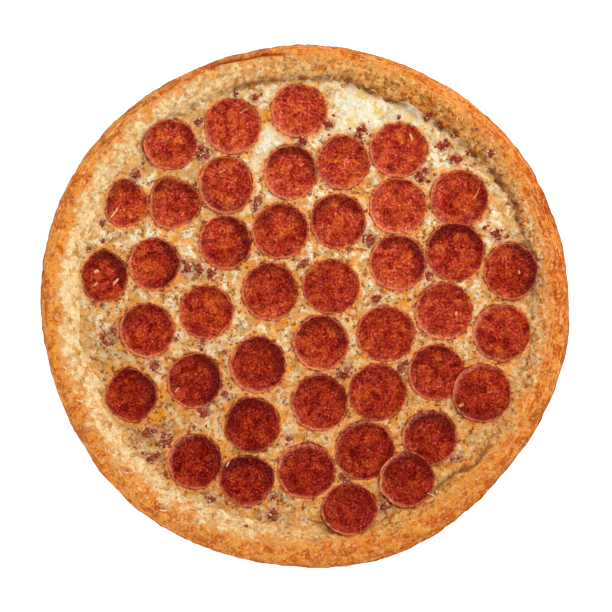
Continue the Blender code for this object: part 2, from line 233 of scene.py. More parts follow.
def band(tree, value, low, high):
    """A mask that goes softly from 0 at low to 1 at high."""
    inputs = {"Value": value, "From Min": low, "From Max": high}
    return step(tree, "ShaderNodeMapRange", inputs, interpolation_type="SMOOTHSTEP")


print("steps for finishes")

# %% [markdown]
# ## Two effects that every finish uses
#
# Mottling gives soft patches of any size. Specks gives small round spots, scattered one to a cell, of which
# only a share is kept: herbs in the cheese, fat in the pepperoni, burnt dots on the crust. Both are groups,
# so each finish places them with its own sizes.

# %% Build the mottling and speck groups
MOTTLE_ROUGHNESS = 0.6
MOTTLE_RANGE = (0.28, 0.72)  # the part of the noise's values that is stretched over 0 to 1


def new_group(name, sizes, output):
    """A group with a place, three numbers and one output. It gives back its inputs too."""
    group = bpy.data.node_groups.new(name, "ShaderNodeTree")
    group.interface.new_socket(name="Place", in_out="INPUT", socket_type="NodeSocketVector")
    for label, value in sizes.items():
        socket = group.interface.new_socket(name=label, in_out="INPUT", socket_type="NodeSocketFloat")
        socket.default_value = value
    group.interface.new_socket(name=output, in_out="OUTPUT", socket_type="NodeSocketFloat")
    given, made = group.nodes.new("NodeGroupInput"), group.nodes.new("NodeGroupOutput")
    return group, [given.outputs[i] for i in range(4)], made.inputs[0]


mottling, (place, size, shift, detail), made = new_group(
    "mottling", {"Size": 5.0, "Shift": 0.0, "Detail": 2.0}, "Patches"
)
shrunk = vector(mottling, "SCALE", place, Scale=calc(mottling, "DIVIDE", 1.0, size))
cloud = {"Vector": vector(mottling, "ADD", shrunk, shift), "Detail": detail}
cloud = step(mottling, "ShaderNodeTexNoise", cloud | {"Scale": 1.0, "Roughness": MOTTLE_ROUGHNESS})
mottling.links.new(band(mottling, cloud, *MOTTLE_RANGE), made)

specks, (place, size, share, width), made = new_group(
    "specks", {"Size": 3.0, "Share": 0.5, "Width": 0.2}, "Spots"
)
shrunk = vector(specks, "SCALE", place, Scale=calc(specks, "DIVIDE", 1.0, size))
distance = step(specks, "ShaderNodeTexVoronoi", {"Vector": shrunk, "Scale": 1.0}, output="Distance")
pick = step(specks, "ShaderNodeSeparateColor", {0: distance.node.outputs["Color"]})
kept = calc(specks, "LESS_THAN", pick, share)
spot = calc(specks, "SUBTRACT", 1.0, band(specks, distance, calc(specks, "MULTIPLY", width, 0.5), width))
specks.links.new(calc(specks, "MULTIPLY", spot, kept), made)
print("groups:", mottling.name, "and", specks.name)

# %% [markdown]
# ## A finish as a stack of layers
#
# A finish starts from the place of each point in millimetres, so a size in a finish is a size on the pizza.
# Its colour is a stack: a first colour, and layers of a mask, a share and a colour. Written as one list, a
# finish reads from the bottom up, as a painter would build it.
#
# Grain is laid last. It adds the same small step to each channel of the screen colour, so it changes how
# light the surface is and not its hue, as the fine mottle of real food does. A mask between two colours
# would change both.

# %% Name the layers
SCREEN_GAMMA = 2.2


class Finish:
    """A new material, and the steps that build its look. Sizes are in millimetres."""

    def __init__(self, name):
        self.material = bpy.data.materials.new(name)
        self.material.use_nodes = True
        self.tree = self.material.node_tree
        self.shader = self.tree.nodes["Principled BSDF"]
        inside = step(self.tree, "ShaderNodeTexCoord", {}, output="Object")
        self.place = vector(self.tree, "SCALE", inside, Scale=1 / MM)

    def times(self, mask, share):
        return calc(self.tree, "MULTIPLY", mask, share)

    def line(self, mask, slope, start):
        """A mask as a straight line: times a slope, and from a start."""
        return calc(self.tree, "MULTIPLY_ADD", mask, slope, start)

    def outside(self, value, low, high):
        """A mask that goes softly from 1 at low to 0 at high."""
        return calc(self.tree, "SUBTRACT", 1.0, band(self.tree, value, low, high))

    def noted(self, name, output="Fac"):
        """Reads the value that note() kept, or its vector."""
        return step(self.tree, "ShaderNodeAttribute", {}, output=output, attribute_name=name)

    def group(self, kind, *inputs):
        node = self.tree.nodes.new("ShaderNodeGroup")
        node.node_tree = kind
        for socket, value in zip(node.inputs, inputs):
            plug(self.tree, socket, value)
        return node.outputs[0]

    def patches(self, size, shift, detail, place=None):
        """Soft patches. A shift gives others of the same size, and detail roughens their edges."""
        return self.group(mottling, self.place if place is None else place, size, shift, detail)

    def mottle(self, size, shift, detail, low, high, place=None):
        """Patches as a mask. The lower its two limits, the more it covers."""
        return band(self.tree, self.patches(size, shift, detail, place), low, high)

    def spots(self, size, share, width):
        return self.group(specks, self.place, size, share, width)

    def mix(self, mask, under, over, blend="MIX"):
        """Lays one colour over another through a mask."""
        inputs = {0: mask, 6: under, 7: over}
        return step(self.tree, "ShaderNodeMix", inputs, output=2, data_type="RGBA", blend_type=blend)

    def stack(self, colour, *layers):
        """Lays layers over a colour. Each is a mask, a share of it, a colour, and its blend if not MIX."""
        for mask, share, over, *blend in layers:
            colour = self.mix(self.times(mask, share), colour, over, *blend)
        return colour

    def grain(self, base, size, amount, shift=0.0):
        """Makes a colour lighter and darker in small patches, by up to this many of 255 screen steps."""
        level = self.line(self.patches(size, shift, 2.0), 2 * amount / 255, -amount / 255)
        seen = step(self.tree, "ShaderNodeGamma", {0: base, 1: 1 / SCREEN_GAMMA})
        seen = vector(self.tree, "MAXIMUM", vector(self.tree, "ADD", seen, level), (0.0, 0.0, 0.0))
        return step(self.tree, "ShaderNodeGamma", {0: seen, 1: SCREEN_GAMMA})

    def give(self, pieces, colour, roughness, height, depth):
        """Gives pieces this finish, with fine relief of this height, this many millimetres deep."""
        bumps = {"Strength": 1.0, "Distance": depth * MM, "Height": height}
        plug(self.tree, self.shader.inputs["Base Color"], colour)
        plug(self.tree, self.shader.inputs["Roughness"], roughness)
        plug(self.tree, self.shader.inputs["Normal"], step(self.tree, "ShaderNodeBump", bumps))
        for piece in pieces:
            piece.data.materials.append(self.material)


print("finishes as stacks of layers")

# %% [markdown]
# ## The floor
#
# The pizza lies on bright white paper, lit so evenly that it has no visible shadow. The floor is white and
# also glows a little for the camera alone, which lifts its shade to paper white and leaves the light on the
# pizza as it is.

# %% Lay the floor
FLOOR_REACH = 3000.0
FLOOR_LEVEL = -0.3
FLOOR_GLOW = 0.8

mesh = bpy.data.meshes.new("floor")
corners = [(east * FLOOR_REACH, north * FLOOR_REACH) for east, north in ((-1, -1), (1, -1), (1, 1), (-1, 1))]
mesh.from_pydata([(x * MM, y * MM, FLOOR_LEVEL * MM) for x, y in corners], [], [(0, 1, 2, 3)])
floor = bpy.data.objects.new("floor", mesh)
bpy.context.scene.collection.objects.link(floor)

paper = Finish("paper")
paper.shader.inputs["Base Color"].default_value = rgb(235, 235, 235)
paper.shader.inputs["Roughness"].default_value = 0.9
seen = step(paper.tree, "ShaderNodeLightPath", {}, output="Is Camera Ray")
plug(paper.tree, paper.shader.inputs["Emission Strength"], paper.times(seen, FLOOR_GLOW))
paper.shader.inputs["Emission Color"].default_value = (1, 1, 1, 1)
mesh.materials.append(paper.material)
print("white floor")

# %% [markdown]
# ## The crust's form
#
# A pizza base is stretched by hand and its rim puffs up in the oven, so the rim's height, its inner edge
# and its outline all wander. It is a section turned round the middle, in far smaller steps than the solid
# has, and then moved by the same slow waves. A sculpted rim would look as good, but it would not lie where
# the solid does.

# %% Turn the crust's section
OUTER_RADIUS = 174.0
CREST_RADIUS = 162.0
FOOT_RADIUS = 141.0
RIM_HEIGHT = 20.0
BULGE_HEIGHT = 7.0
TUCK = 6.5
FLOOR_HEIGHT = 5.0
OUTLINE_WAVES = ((1, 0.5, 145), (2, 1.0, 174), (3, 0.9, 28), (5, 0.6, 5), (6, 0.5, 45), (7, 0.4, 34))
CREST_SHIFTS = ((1, 3.0, 95), (2, 0.8, 60), (3, 0.6, 80))
CREST_HEIGHTS = ((1, 0.6, 200), (3, 0.5, 13), (4, 0.5, 38), (9, 0.4, 7))
WAVES_START = 90.0
LUMP_SIZE = 13.0
LUMP_HEIGHT = 1.1
AROUND = 960
SLOPE_ROWS, SHOULDER_ROWS, TUCK_ROWS = 30, 24, 10
FLOOR_ROWS = (30, 80, 115, 130, 137)
UNDERSIDE_ROWS = (164, 158, 150, 140, 125, 105, 80, 50, 20)


def section_rows():
    """Radius, height and climb of each row. The climb is 0 at the foot, 1 on the crest, 2 where the rim is
    widest, 3 where it meets the ground, and 4 in the middle of the underside."""
    for radius in FLOOR_ROWS:
        yield radius, FLOOR_HEIGHT, 0
    for row in range(SLOPE_ROWS + 1):
        share = row / SLOPE_ROWS
        up = (RIM_HEIGHT - FLOOR_HEIGHT) * ((1 - math.cos(math.pi * share)) / 2)
        yield FOOT_RADIUS + (CREST_RADIUS - FOOT_RADIUS) * share, FLOOR_HEIGHT + up, share
    for row in range(1, SHOULDER_ROWS + 1):
        turn = math.pi / 2 * row / SHOULDER_ROWS
        across = (OUTER_RADIUS - CREST_RADIUS) * math.sin(turn)
        up = (RIM_HEIGHT - BULGE_HEIGHT) * math.cos(turn)
        yield CREST_RADIUS + across, BULGE_HEIGHT + up, 1 + row / SHOULDER_ROWS
    for row in range(1, TUCK_ROWS + 1):
        turn = math.pi / 2 * row / TUCK_ROWS
        across = TUCK * (1 - math.cos(turn))
        yield OUTER_RADIUS - across, BULGE_HEIGHT * (1 - math.sin(turn)), 2 + row / TUCK_ROWS
    for radius in UNDERSIDE_ROWS:
        yield radius, 0, 3 + (OUTER_RADIUS - TUCK - radius) / (OUTER_RADIUS - TUCK)


def risen(points):
    """Where the oven moves points of the even dough: outward in slow waves, and up in lumps."""
    x, y, z = points.T
    radius, angle = np.hypot(x, y), np.arctan2(y, x)
    outward = smoothstep((radius - WAVES_START) / (OUTER_RADIUS - WAVES_START))
    upward = smoothstep((z - FLOOR_HEIGHT) / (RIM_HEIGHT - FLOOR_HEIGHT))
    inner = smoothstep((radius - FOOT_RADIUS) / (CREST_RADIUS - FOOT_RADIUS)) * smoothstep(z / FLOOR_HEIGHT)
    inner *= smoothstep((OUTER_RADIUS - radius) / (OUTER_RADIUS - CREST_RADIUS))
    lump = LUMP_HEIGHT * lumps(points, LUMP_SIZE)
    radius = radius + outward * wave_sum(OUTLINE_WAVES, angle) + inner * wave_sum(CREST_SHIFTS, angle)
    radius += upward * 0.5 * lump
    height = z + upward * (wave_sum(CREST_HEIGHTS, angle) + lump)
    return np.stack((radius * np.cos(angle), radius * np.sin(angle), height), axis=1)


section = np.array(list(section_rows()))
turn = np.linspace(0, math.tau, AROUND, endpoint=False)
rows = len(section)
flat = [np.outer(section[:, 0], along(turn)).ravel() for along in (np.cos, np.sin)]
crust_points = risen(np.stack((*flat, np.repeat(section[:, 1], AROUND)), axis=1))
climb = np.repeat(section[:, 2], AROUND)
print(f"crust: {rows} rows of {AROUND} points")

# %% [markdown]
# ## The crust's relief
#
# The inner slope is coated in cheese that has dried in shreds and curds, so it is rough. The outer band is
# bare dough with a tight skin: smooth, with fine wrinkles that run along the rim, small blisters, and one
# long fold at upper left where the dough was pinched. The border between the two wanders. At the lower right
# the dough laps over itself. Each kind of relief is a height along the surface's own direction, weighed by
# where it belongs. The foot of the slope at the upper right, which faces away from the lamp, and the lap also
# get painted shade: a dark line that the finishes lay on.

# %% Raise the crust's relief
TOASTED = (  # where the skin is toasted: middle, reach and strength
    (150, 87, 10, 0.7),
    (157, 72, 11, 0.9),
    (162, 55, 9, 0.7),
    (158, -74, 7, 0.8),
    (-64, 160, 9, 0.9),
    (-46, 165, 8, 0.8),
    (-28, 168, 7, 0.6),
    (-84, 150, 7, 0.6),
    (-150, -82, 9, 0.4),
)
FOLD = (92, 114, 166.4, 4.6)  # from and to which angle, its least radius, and how far it swings out
FOOT_PLACES = (  # how far out the slope's foot lies, at these angles
    (-30, 151),
    (0, 150),
    (21, 151),
    (27, 154),
    (35, 152),
    (46, 150),
    (60, 147.5),
    (70, 147.5),
    (80, 151),
    (130, 151),
    (200, 149),
    (214, 145),
    (222, 145.5),
    (232, 147.5),
    (244, 150),
    (330, 151),
)
FLAP = (  # where the dough laps over itself
    (87, -120),
    (91, -116),
    (96, -112.5),
    (102, -109.5),
    (108, -107.3),
    (112.5, -104),
    (115.8, -100.3),
    (118.5, -96),
)
LAP_WIDTH, LAP_SHADE, LAP_DEPTH = 1.3, 0.85, 0.6
FLAP_OUTWARD, FLAP_WIDTH, FLAP_HEIGHT = 1.016, 1.9, 1.3
FOLD_WIDTH, FOLD_DEPTH = 1.25, 1.7
BORDER_RADIUS, BORDER_SWING = 160.8, 4.5  # where the coating ends, and how much farther out at the top
BORDER_WANDER = ((11, 2.4), (5, 1.6))
COAT_FADE = 13.0
SKIN_RING = 44  # the radius that the skin's streaks are counted round
WRINKLE_HEIGHT = 0.12
SLOPE_CURDS = ((9.0, 0.75), (4.0, 0.35))
BLISTERS = ((12.0, 0.35), (5.0, 0.2), (2.2, 0.1))
OUTLINE_RELIEF = ((16.0, 0.22), (6.0, 0.14))


def outward_directions(points, rows):
    """The direction that each point of a net of rows faces."""
    grid = points.reshape(rows, AROUND, 3)
    along = np.roll(grid, -1, axis=1) - np.roll(grid, 1, axis=1)
    across = np.gradient(grid, axis=0)
    facing = np.cross(along, across).reshape(-1, 3)
    return -facing / np.maximum(np.linalg.norm(facing, axis=1, keepdims=True), 1e-9)


radius = np.hypot(crust_points[:, 0], crust_points[:, 1])
angle = np.arctan2(crust_points[:, 1], crust_points[:, 0])
skin_distance = np.cumsum(np.hypot(*np.diff(section[:, :2], axis=0, prepend=section[:1, :2]).T))
skin = (np.cos(angle) * SKIN_RING, np.sin(angle) * SKIN_RING, np.repeat(skin_distance, AROUND))
skin = np.stack(skin, axis=1)

border = BORDER_RADIUS + BORDER_SWING * toward(angle, 105)
for number, (pitch, size) in enumerate(BORDER_WANDER):
    border += size * lumps(crust_points, pitch, 3 + number)
coat = smoothstep((border - radius) / COAT_FADE + 0.5) * (climb < 1.7)
bare = (1 - coat) * smoothstep((3.05 - climb) * 8) * smoothstep(climb * 3)

degrees = np.degrees(angle) % 360
along_fold = np.clip((degrees - FOLD[0]) / (FOLD[1] - FOLD[0]), 0, 1)
fold_radius = FOLD[2] + FOLD[3] * along_fold**1.6 + 0.5 * lumps(crust_points, 7, 5)
fold_depth = smoothstep(along_fold * 5) * smoothstep((1 - along_fold) * 4)
fold = fold_depth * bell(radius - fold_radius, FOLD_WIDTH) * (climb < 2)

bend = np.stack([lumps(crust_points, 6, 18 + i) for i in range(3)], axis=1)
bent = crust_points + 1.6 * bend
hills = [np.sqrt(lumps(bent, pitch, 6 + i) ** 2 + 0.01) for i, (pitch, _) in enumerate(SLOPE_CURDS)]
toast = np.zeros(len(radius))
for cx, cy, reach, strength in TOASTED:
    away = np.hypot(crust_points[:, 0] - cx, crust_points[:, 1] - cy)
    toast = np.maximum(toast, strength * (1 - smoothstep(away / reach - 0.3)))


def foot_radius(x, y):
    """How far out the foot of the slope lies, where the painted shade line runs, in the direction of each
    point.
    """
    first = FOOT_PLACES[0][0]
    bearing = (np.degrees(np.arctan2(y, x)) - first) % 360 + first
    return np.interp(bearing, *zip(*FOOT_PLACES))


def away_from(path, x, y):
    """How far each point lies from a path of straight lines."""
    nearest = np.full(len(x), 1e3)
    for (ax, ay), (bx, by) in zip(path, path[1:]):
        share = ((x - ax) * (bx - ax) + (y - ay) * (by - ay)) / ((bx - ax) ** 2 + (by - ay) ** 2)
        share = np.clip(share, 0, 1)
        nearest = np.minimum(nearest, np.hypot(x - ax - share * (bx - ax), y - ay - share * (by - ay)))
    return nearest


def painted_foot_shade(x, y):
    """How dark the painted shade at the foot of the slope is at each point. It is deepest at the upper right,
    and fades out lower down.
    """
    strength = 0.1 + 0.9 * smoothstep(toward(np.arctan2(y, x), 55) - 0.05)
    line = bell(np.hypot(x, y) - foot_radius(x, y), 1.2 + 1.3 * strength)
    patchy = 0.85 + 0.7 * lumps(on_plane(x, y), 6, 30)
    return np.clip(strength * line * patchy, 0, 1)


# painted shade along the foot of the slope and the lap, kept as the foot note for the finish
foot = painted_foot_shade(*crust_points[:, :2].T) * (climb < 1)
outer_flap = [(px * FLAP_OUTWARD, py * FLAP_OUTWARD) for px, py in FLAP]
flap = bell(away_from(outer_flap, *crust_points[:, :2].T), FLAP_WIDTH) * (climb < 1) * (climb > 0)
lap = LAP_SHADE * bell(away_from(FLAP, *crust_points[:, :2].T), LAP_WIDTH) * (climb < 1)
foot = np.maximum(foot, lap)

height = sum(size * (2 * hill - 0.6) for hill, (_, size) in zip(hills, SLOPE_CURDS)) * coat
for number, (pitch, size) in enumerate(BLISTERS):
    height += size * lumps(crust_points, pitch, 9 + number) * bare
height += WRINKLE_HEIGHT * lumps(skin * (1, 1, 1 / 1.5), 1.0, 2) * bare
height += FLAP_HEIGHT * flap - LAP_DEPTH * lap - FOLD_DEPTH * fold
for number, (pitch, size) in enumerate(OUTLINE_RELIEF):
    height += size * lumps(crust_points, pitch, 12 + number) * bare
height += 0.15 * lumps(crust_points, 5, 15) * (climb > 3.02)
crust_points = crust_points + outward_directions(crust_points, rows) * height[:, None]
crust_points[:, 2] = np.maximum(crust_points[:, 2], 0)
print(f"crust relief from {height.min():.2f} to {height.max():.2f} mm")

# %% [markdown]
# ## The crust as one piece
#
# The rows are joined into one closed skin, and every point keeps notes: how far round the section it lies,
# how thickly it is coated, how toasted it is. The finish reads these notes, so its colours follow the form
# even where the rim wanders. A painted picture could hold them too, but would have to be kept in a file
# beside the piece.

# %% Make the crust
middles = [(0, 0, FLOOR_HEIGHT), (0, 0, 0)]
top, bottom = len(crust_points), len(crust_points) + 1
faces = [face[::-1] for face in net(rows, AROUND)]
last = (rows - 1) * AROUND
for i in range(AROUND):
    after = (i + 1) % AROUND
    faces.append((top, i, after))
    faces.append((bottom, last + after, last + i))
crust = new_piece("crust_baked", np.vstack((crust_points, middles)), faces, ["crust"])
crust_notes = {  # values at the points, and at the two middles
    "climb": (climb, (0, 4)),
    "coat": (coat, (1, 0)),
    "fold": (fold, (0, 0)),
    "toast": (toast, (0, 0)),
    "foot": (np.clip(foot, 0, 1), (0, 0)),
    # 1 at the left: drier, creamier colour there, partly painted light
    "dry_and_lit": (0.5 - 0.5 * toward(angle, 5), (0, 0)),
    # painted shade, strongest at the upper right
    "painted_shade_side": (np.clip(1.6 * toward(angle, 48) - 0.6, 0, 1), (0, 0)),
    "rusty": (np.clip(2 * toward(angle, -50) - 1, 0, 1), (0, 0)),
    "floured": (np.clip(2.5 * toward(angle, 5) - 1.5, 0, 1), (0, 0)),
    "pebbled": (smoothstep(0.3 + toward(angle, 235)), (0, 0)),
    "curd": (smoothstep(hills[0] + hills[1] * 0.9), (0, 0)),
}
for name, (values, ends) in crust_notes.items():
    note(crust, name, np.append(values, ends))
note(crust, "skin", np.vstack((skin, np.zeros((2, 3)))))
print(f"crust of {len(faces)} faces")

# %% [markdown]
# ## Reading the slices
#
# Every slice is already placed by its solid: where it lies, how it leans and what its outline is. Reading
# these from the solids keeps one source for them. A slice's outline comes as eighteen corners, and a few
# waves laid through the corners give back a smooth curve.

# %% Read the slices from the solids
OUTLINE_COUNT = 6


class Slice:
    """One slice: its middle, its directions, the distance to its edge at any angle, and how far it curls."""

    def __init__(self, number):
        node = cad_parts[f"pepperoni_{number:02d}"]
        self.number = number
        corners = np.array([vertex.co for vertex in node.data.vertices]) / MM
        flat = max(node.data.polygons, key=lambda face: face.area * (face.normal.z < 0)).normal
        facing = [face.normal * face.area for face in node.data.polygons if face.normal.dot(flat) > 0.9999]
        self.up = -sum(facing, Vector()).normalized()
        self.across = Vector((self.up.z, 0, -self.up.x)).normalized()
        self.along = self.up.cross(self.across)
        self.axes = np.array((self.across, self.along, self.up))
        low = min(corners @ self.up)
        flat = corners[corners @ self.up < low + 0.05]
        self.middle = (flat.max(axis=0) + flat.min(axis=0)) / 2
        inside = (corners - self.middle) @ self.axes.T
        self.curl = inside[:, 2].max() - 2.0
        ring = inside[abs(inside[:, 2] - self.curl - 1.0) < 0.08]
        angle, reach = np.arctan2(ring[:, 1], ring[:, 0]), np.hypot(ring[:, 0], ring[:, 1])
        edge = reach > 0.93 * reach.max() if self.curl > 0.9 else reach > 0
        self.waves = np.linalg.lstsq(self.wave_table(angle[edge]), reach[edge], rcond=None)[0]
        self.radius = self.waves[0]

    def wave_table(self, angle):
        counts = range(1, OUTLINE_COUNT + 1)
        waves = [np.ones_like(angle)] + [f(n * angle) for n in counts for f in (np.cos, np.sin)]
        return np.stack(waves, axis=-1)

    def outline(self, angle):
        return self.wave_table(np.asarray(angle, dtype=float)) @ self.waves

    def beyond(self, x, y):
        """How far points lie outside the edge, seen from above, or less than 0 inside it."""
        x, y = x - self.middle[0], y - self.middle[1]
        return np.hypot(x, y) - self.outline(np.arctan2(y, x))

    def underside(self, x, y):
        x, y = x - self.middle[0], y - self.middle[1]
        return self.middle[2] - (self.up.x * x + self.up.y * y) / self.up.z


slices = [Slice(number) for number in range(1, 43)]
sizes = [piece.radius * 2 for piece in slices]
print(f"{len(slices)} slices, {min(sizes):.1f} to {max(sizes):.1f} mm across")

# %% [markdown]
# ## The sheet of cheese
#
# Melted cheese sinks under the slices and swells up between them, then sets in soft curds and pits where
# the shreds ran together. It clings to the side of each slice and to the foot of the crust, so no dark gap
# shows there. It is one fine net of points over the whole disc, so no seam shows, and each point's height
# follows from the slices near it. A cloth or fluid simulation could sag the sheet, but not bake it.

# %% Shape the cheese
SEAT_HEIGHT = 7.7
CHEESE_BOTTOM = 5.3
CHEESE_GAP = 0.3
EDGE_GAP = 0.7
SWELL, SWELL_WIDTH = 1.3, 3.5
CURD_SIZE, CURD_HEIGHT = 7.0, 0.9
MOST_SUPPORT = 1.4
CHEESE_RADIUS = 152.5
CHEESE_CELLS = 304
CURDS = ((8.0, 0.8), (4.0, 0.45))
HUG_HEIGHT = 2.0  # how far the cheese climbs up the side of a slice
EDGE_CLIMB = 1.4  # and up the crust's slope


def disc_points(cells, reach):
    """A square net of points, bent to fill a disc."""
    line = np.linspace(-1, 1, cells + 1)
    a, b = (grid.ravel() for grid in np.meshgrid(line, line))
    wide = abs(a) > abs(b)
    safe_a, safe_b = np.where(a == 0, 1, a), np.where(b == 0, 1, b)
    radius = np.where(wide, a, b)
    turned = np.where(wide, math.pi / 4 * b / safe_a, math.pi / 2 - math.pi / 4 * a / safe_b)
    return reach * radius * np.cos(turned), reach * radius * np.sin(turned)


def cheese_surface(x, y):
    """The sheet's height at points, and how far each lies from the nearest slice."""
    nearest = np.full(len(x), 1e3)
    total, weight = np.zeros(len(x)), np.zeros(len(x))
    ceiling = np.full(len(x), 1e3)
    for piece in slices:
        beyond = piece.beyond(x, y)
        under = piece.underside(x, y) - CHEESE_GAP
        nearest = np.minimum(nearest, beyond)
        share = np.exp(-np.clip(beyond, 0, 60) / 2.5)
        total += share * np.minimum(under, SEAT_HEIGHT + MOST_SUPPORT)
        weight += share
        ceiling = np.where(beyond < -0.5, np.minimum(ceiling, under), ceiling)
    swell = smoothstep((nearest - EDGE_GAP) / SWELL_WIDTH)
    curds = CURD_HEIGHT * lumps(on_plane(x, y), CURD_SIZE)
    level = total / np.maximum(weight, 1e-12) + swell * (SWELL + curds)
    level += HUG_HEIGHT * smoothstep((nearest + 0.7) / 0.8) * (1 - smoothstep((nearest - 0.6) / 3.5))
    return np.minimum(level, ceiling), nearest


x, y = disc_points(CHEESE_CELLS, CHEESE_RADIUS)
flat = risen(on_plane(x, y, SEAT_HEIGHT - 2))
x, y = flat[:, 0], flat[:, 1]
sheet, nearest = cheese_surface(x, y)
sheet += EDGE_CLIMB * smoothstep((np.hypot(x, y) - 143) / 8)
print(f"cheese from {sheet.min():.1f} to {sheet.max():.1f} mm high")

# %% [markdown]
# ## Where the meat crumbs are
#
# The crumbs lie in small clumps. The solids were made from the same list of clumps and the same rule: each
# next crumb takes the roomiest of a few places near the middle of its clump. Following both again gives the
# places and sizes of the solid crumbs, where picking them out of the solid's mesh would miss the low ones.

# %% Place the crumbs
CLUMPS = (  # the middle of each clump, and how many crumbs it has
    (-34, 141, 3),
    (-70, 122, 1),
    (-71, 101, 3),
    (-112, 87, 1),
    (-137, 56, 2),
    (-78, 26, 3),
    (-61, 21, 2),
    (-31, 70, 2),
    (-2, 109, 1),
    (15, 120, 1),
    (35, 140, 1),
    (52, 138, 2),
    (38, 117, 2),
    (83, 124, 3),
    (91, 106, 1),
    (100, 97, 2),
    (76, 86, 2),
    (0, 29, 2),
    (42, 45, 1),
    (47, 5, 2),
    (126, 48, 2),
    (81, 20, 1),
    (-132, -24, 3),
    (-100, -40, 2),
    (-68, -24, 1),
    (-53, -58, 1),
    (-67, -71, 2),
    (-105, -84, 2),
    (-92, -90, 2),
    (-102, -101, 2),
    (-11, -88, 1),
    (-62, -127, 2),
    (-21, -126, 1),
    (-22, -140, 2),
    (27, -43, 2),
    (67, -37, 3),
    (25, -112, 2),
    (52, -133, 3),
    (101, -100, 2),
    (113, -101, 2),
    (143, -44, 1),
)
CRUMB_RADIUS = (2.1, 3.4)
SMALLEST_CRUMB = 1.5
CLUMP_SPREAD = 5.0
CRUMB_TRIES = 8
RIM_CLEARANCE = 145.8  # how far out a crumb may reach, before the crust's waves


def place_crumbs():
    rng = random.Random(7)
    crumbs = []
    for clump_x, clump_y, count in CLUMPS:
        for number in range(count):
            wanted, tries = rng.uniform(*CRUMB_RADIUS), []
            for _ in range(CRUMB_TRIES):
                away, heading = rng.uniform(0, CLUMP_SPREAD * number), rng.uniform(0, math.tau)
                x, y = clump_x + away * math.cos(heading), clump_y + away * math.sin(heading)
                reach = RIM_CLEARANCE + float(wave_sum(OUTLINE_WAVES, math.atan2(y, x))) * 0.7
                clear = min([reach - math.hypot(x, y)] + [float(piece.beyond(x, y)) for piece in slices])
                rooms = [clear - CHEESE_GAP] + [math.hypot(x - u, y - v) - size for u, v, size in crumbs]
                tries.append((min(rooms), x, y))
            room, x, y = max(tries, key=lambda found: min(found[0], wanted))
            if room > SMALLEST_CRUMB:
                crumbs.append((x, y, min(wanted, room)))
    return crumbs


crumbs = place_crumbs()
print(f"{len(crumbs)} crumbs in {len(CLUMPS)} clumps")

# %% [markdown]
# ## The cheese as one piece
#
# The curds are added last, and a skirt closes the sheet down to its flat underside. No rule says where the
# cheese stays milky, where it runs thin and where orange oil gathers, so these places are listed. Each
# spreads softly from its middle, and the finish reads how far a point belongs to it.

# %% Make the sheet of cheese
MILKY = ((38, 133, 22, 1.0), (66, 126, 14, 0.9), (20, 118, 10, 0.8), (-22, 108, 13, 0.8), (-30, 93, 8, 0.7))
THIN = (  # where the cheese is thin and olive
    (-122, -30, 20, 1.0),
    (-98, -80, 20, 1.0),
    (-62, -130, 16, 0.9),
    (-22, -134, 14, 0.8),
    (-88, 88, 12, 0.8),
    (-120, 0, 14, 0.6),
    (20, -2, 9, 0.5),
    (128, 10, 12, 0.5),
    (118, -84, 14, 0.6),
    (62, -76, 9, 0.6),
)
POOLS = (  # where orange oil has gathered
    (-10.5, -11, 6, 1.0),
    (-10, -41, 5, 0.9),
    (-46, 3, 5, 0.7),
    (-98, -72, 7, 1.0),
    (-142, -46, 7, 0.8),
    (-95, -57, 6, 0.8),
    (39, 72, 7, 0.8),
    (53, 92, 5, 0.6),
    (66, 5, 7, 0.8),
    (108, -80, 8, 0.6),
    (97, -106, 8, 0.8),
    (-26, 124, 7, 0.8),
    (-84, 44, 7, 0.7),
    (-116, 92, 7, 0.6),
    (-8, 16, 5, 0.6),
    (32, 28, 6, 0.6),
    (92, 70, 5, 0.5),
    (75, 45, 6, 0.6),
    (-57, -93, 6, 0.7),
)


def curds(points, sizes, shift):
    """Round hills with sharp creases between them: how high each point lies on them, from 0 in a crease."""
    bend = np.stack((lumps(points, 8, 21), lumps(points, 8, 22), np.zeros(len(points))), axis=1)
    bent = points + 1.8 * bend
    return [np.sqrt(lumps(bent, pitch, shift + i) ** 2 + 0.008) for i, (pitch, _) in enumerate(sizes)]


points = on_plane(x, y)
hills = curds(points, CURDS, 23)
fine = sum(size * (2 * hill - 0.8) for hill, (_, size) in zip(hills, CURDS))
sheet = sheet + smoothstep(nearest / 2.0) * (fine - 0.15)
curd = smoothstep(hills[0] * 1.3 + hills[1] * 0.7)
stain = np.zeros(len(x))
for cx, cy, reach in crumbs:
    stain = np.maximum(stain, 1 - smoothstep((np.hypot(x - cx, y - cy) - reach) / 3.5))


def zone(places):
    """How far each point belongs to the nearest of these places: middle, reach and strength."""
    inside = np.zeros(len(x))
    for cx, cy, reach, strength in places:
        inside = np.maximum(inside, strength * (1 - smoothstep(np.hypot(x - cx, y - cy) / reach - 0.35)))
    return inside


count = CHEESE_CELLS + 1
faces = net(count, count, closed=False)
points[:, 2] = sheet
rim = list(range(count)) + [count * i + count - 1 for i in range(1, count)]
rim += [count * count - 1 - i for i in range(1, count)]
rim += [count * (count - 1 - i) for i in range(1, count - 1)]
skirt = points[rim] * (1, 1, 0) + (0, 0, CHEESE_BOTTOM)
start = len(points)
for i in range(len(rim)):
    after = (i + 1) % len(rim)
    faces.append((rim[after], rim[i], start + i, start + after))
faces.append(tuple(start + i for i in reversed(range(len(rim)))))
cheese = new_piece("cheese_melted", np.vstack((points, skirt)), faces, ["cheese"])
# painted shade along the crust's foot and the lap, laid on the cheese too
shade = np.maximum(painted_foot_shade(x, y), LAP_SHADE * bell(away_from(FLAP, x, y), LAP_WIDTH))
past_foot = smoothstep((np.hypot(x, y) - foot_radius(x, y)) / 2)
edge = np.maximum(0.6 * smoothstep((np.hypot(x, y) - 139 - 1.5 * lumps(points, 6, 40)) / 8), past_foot)
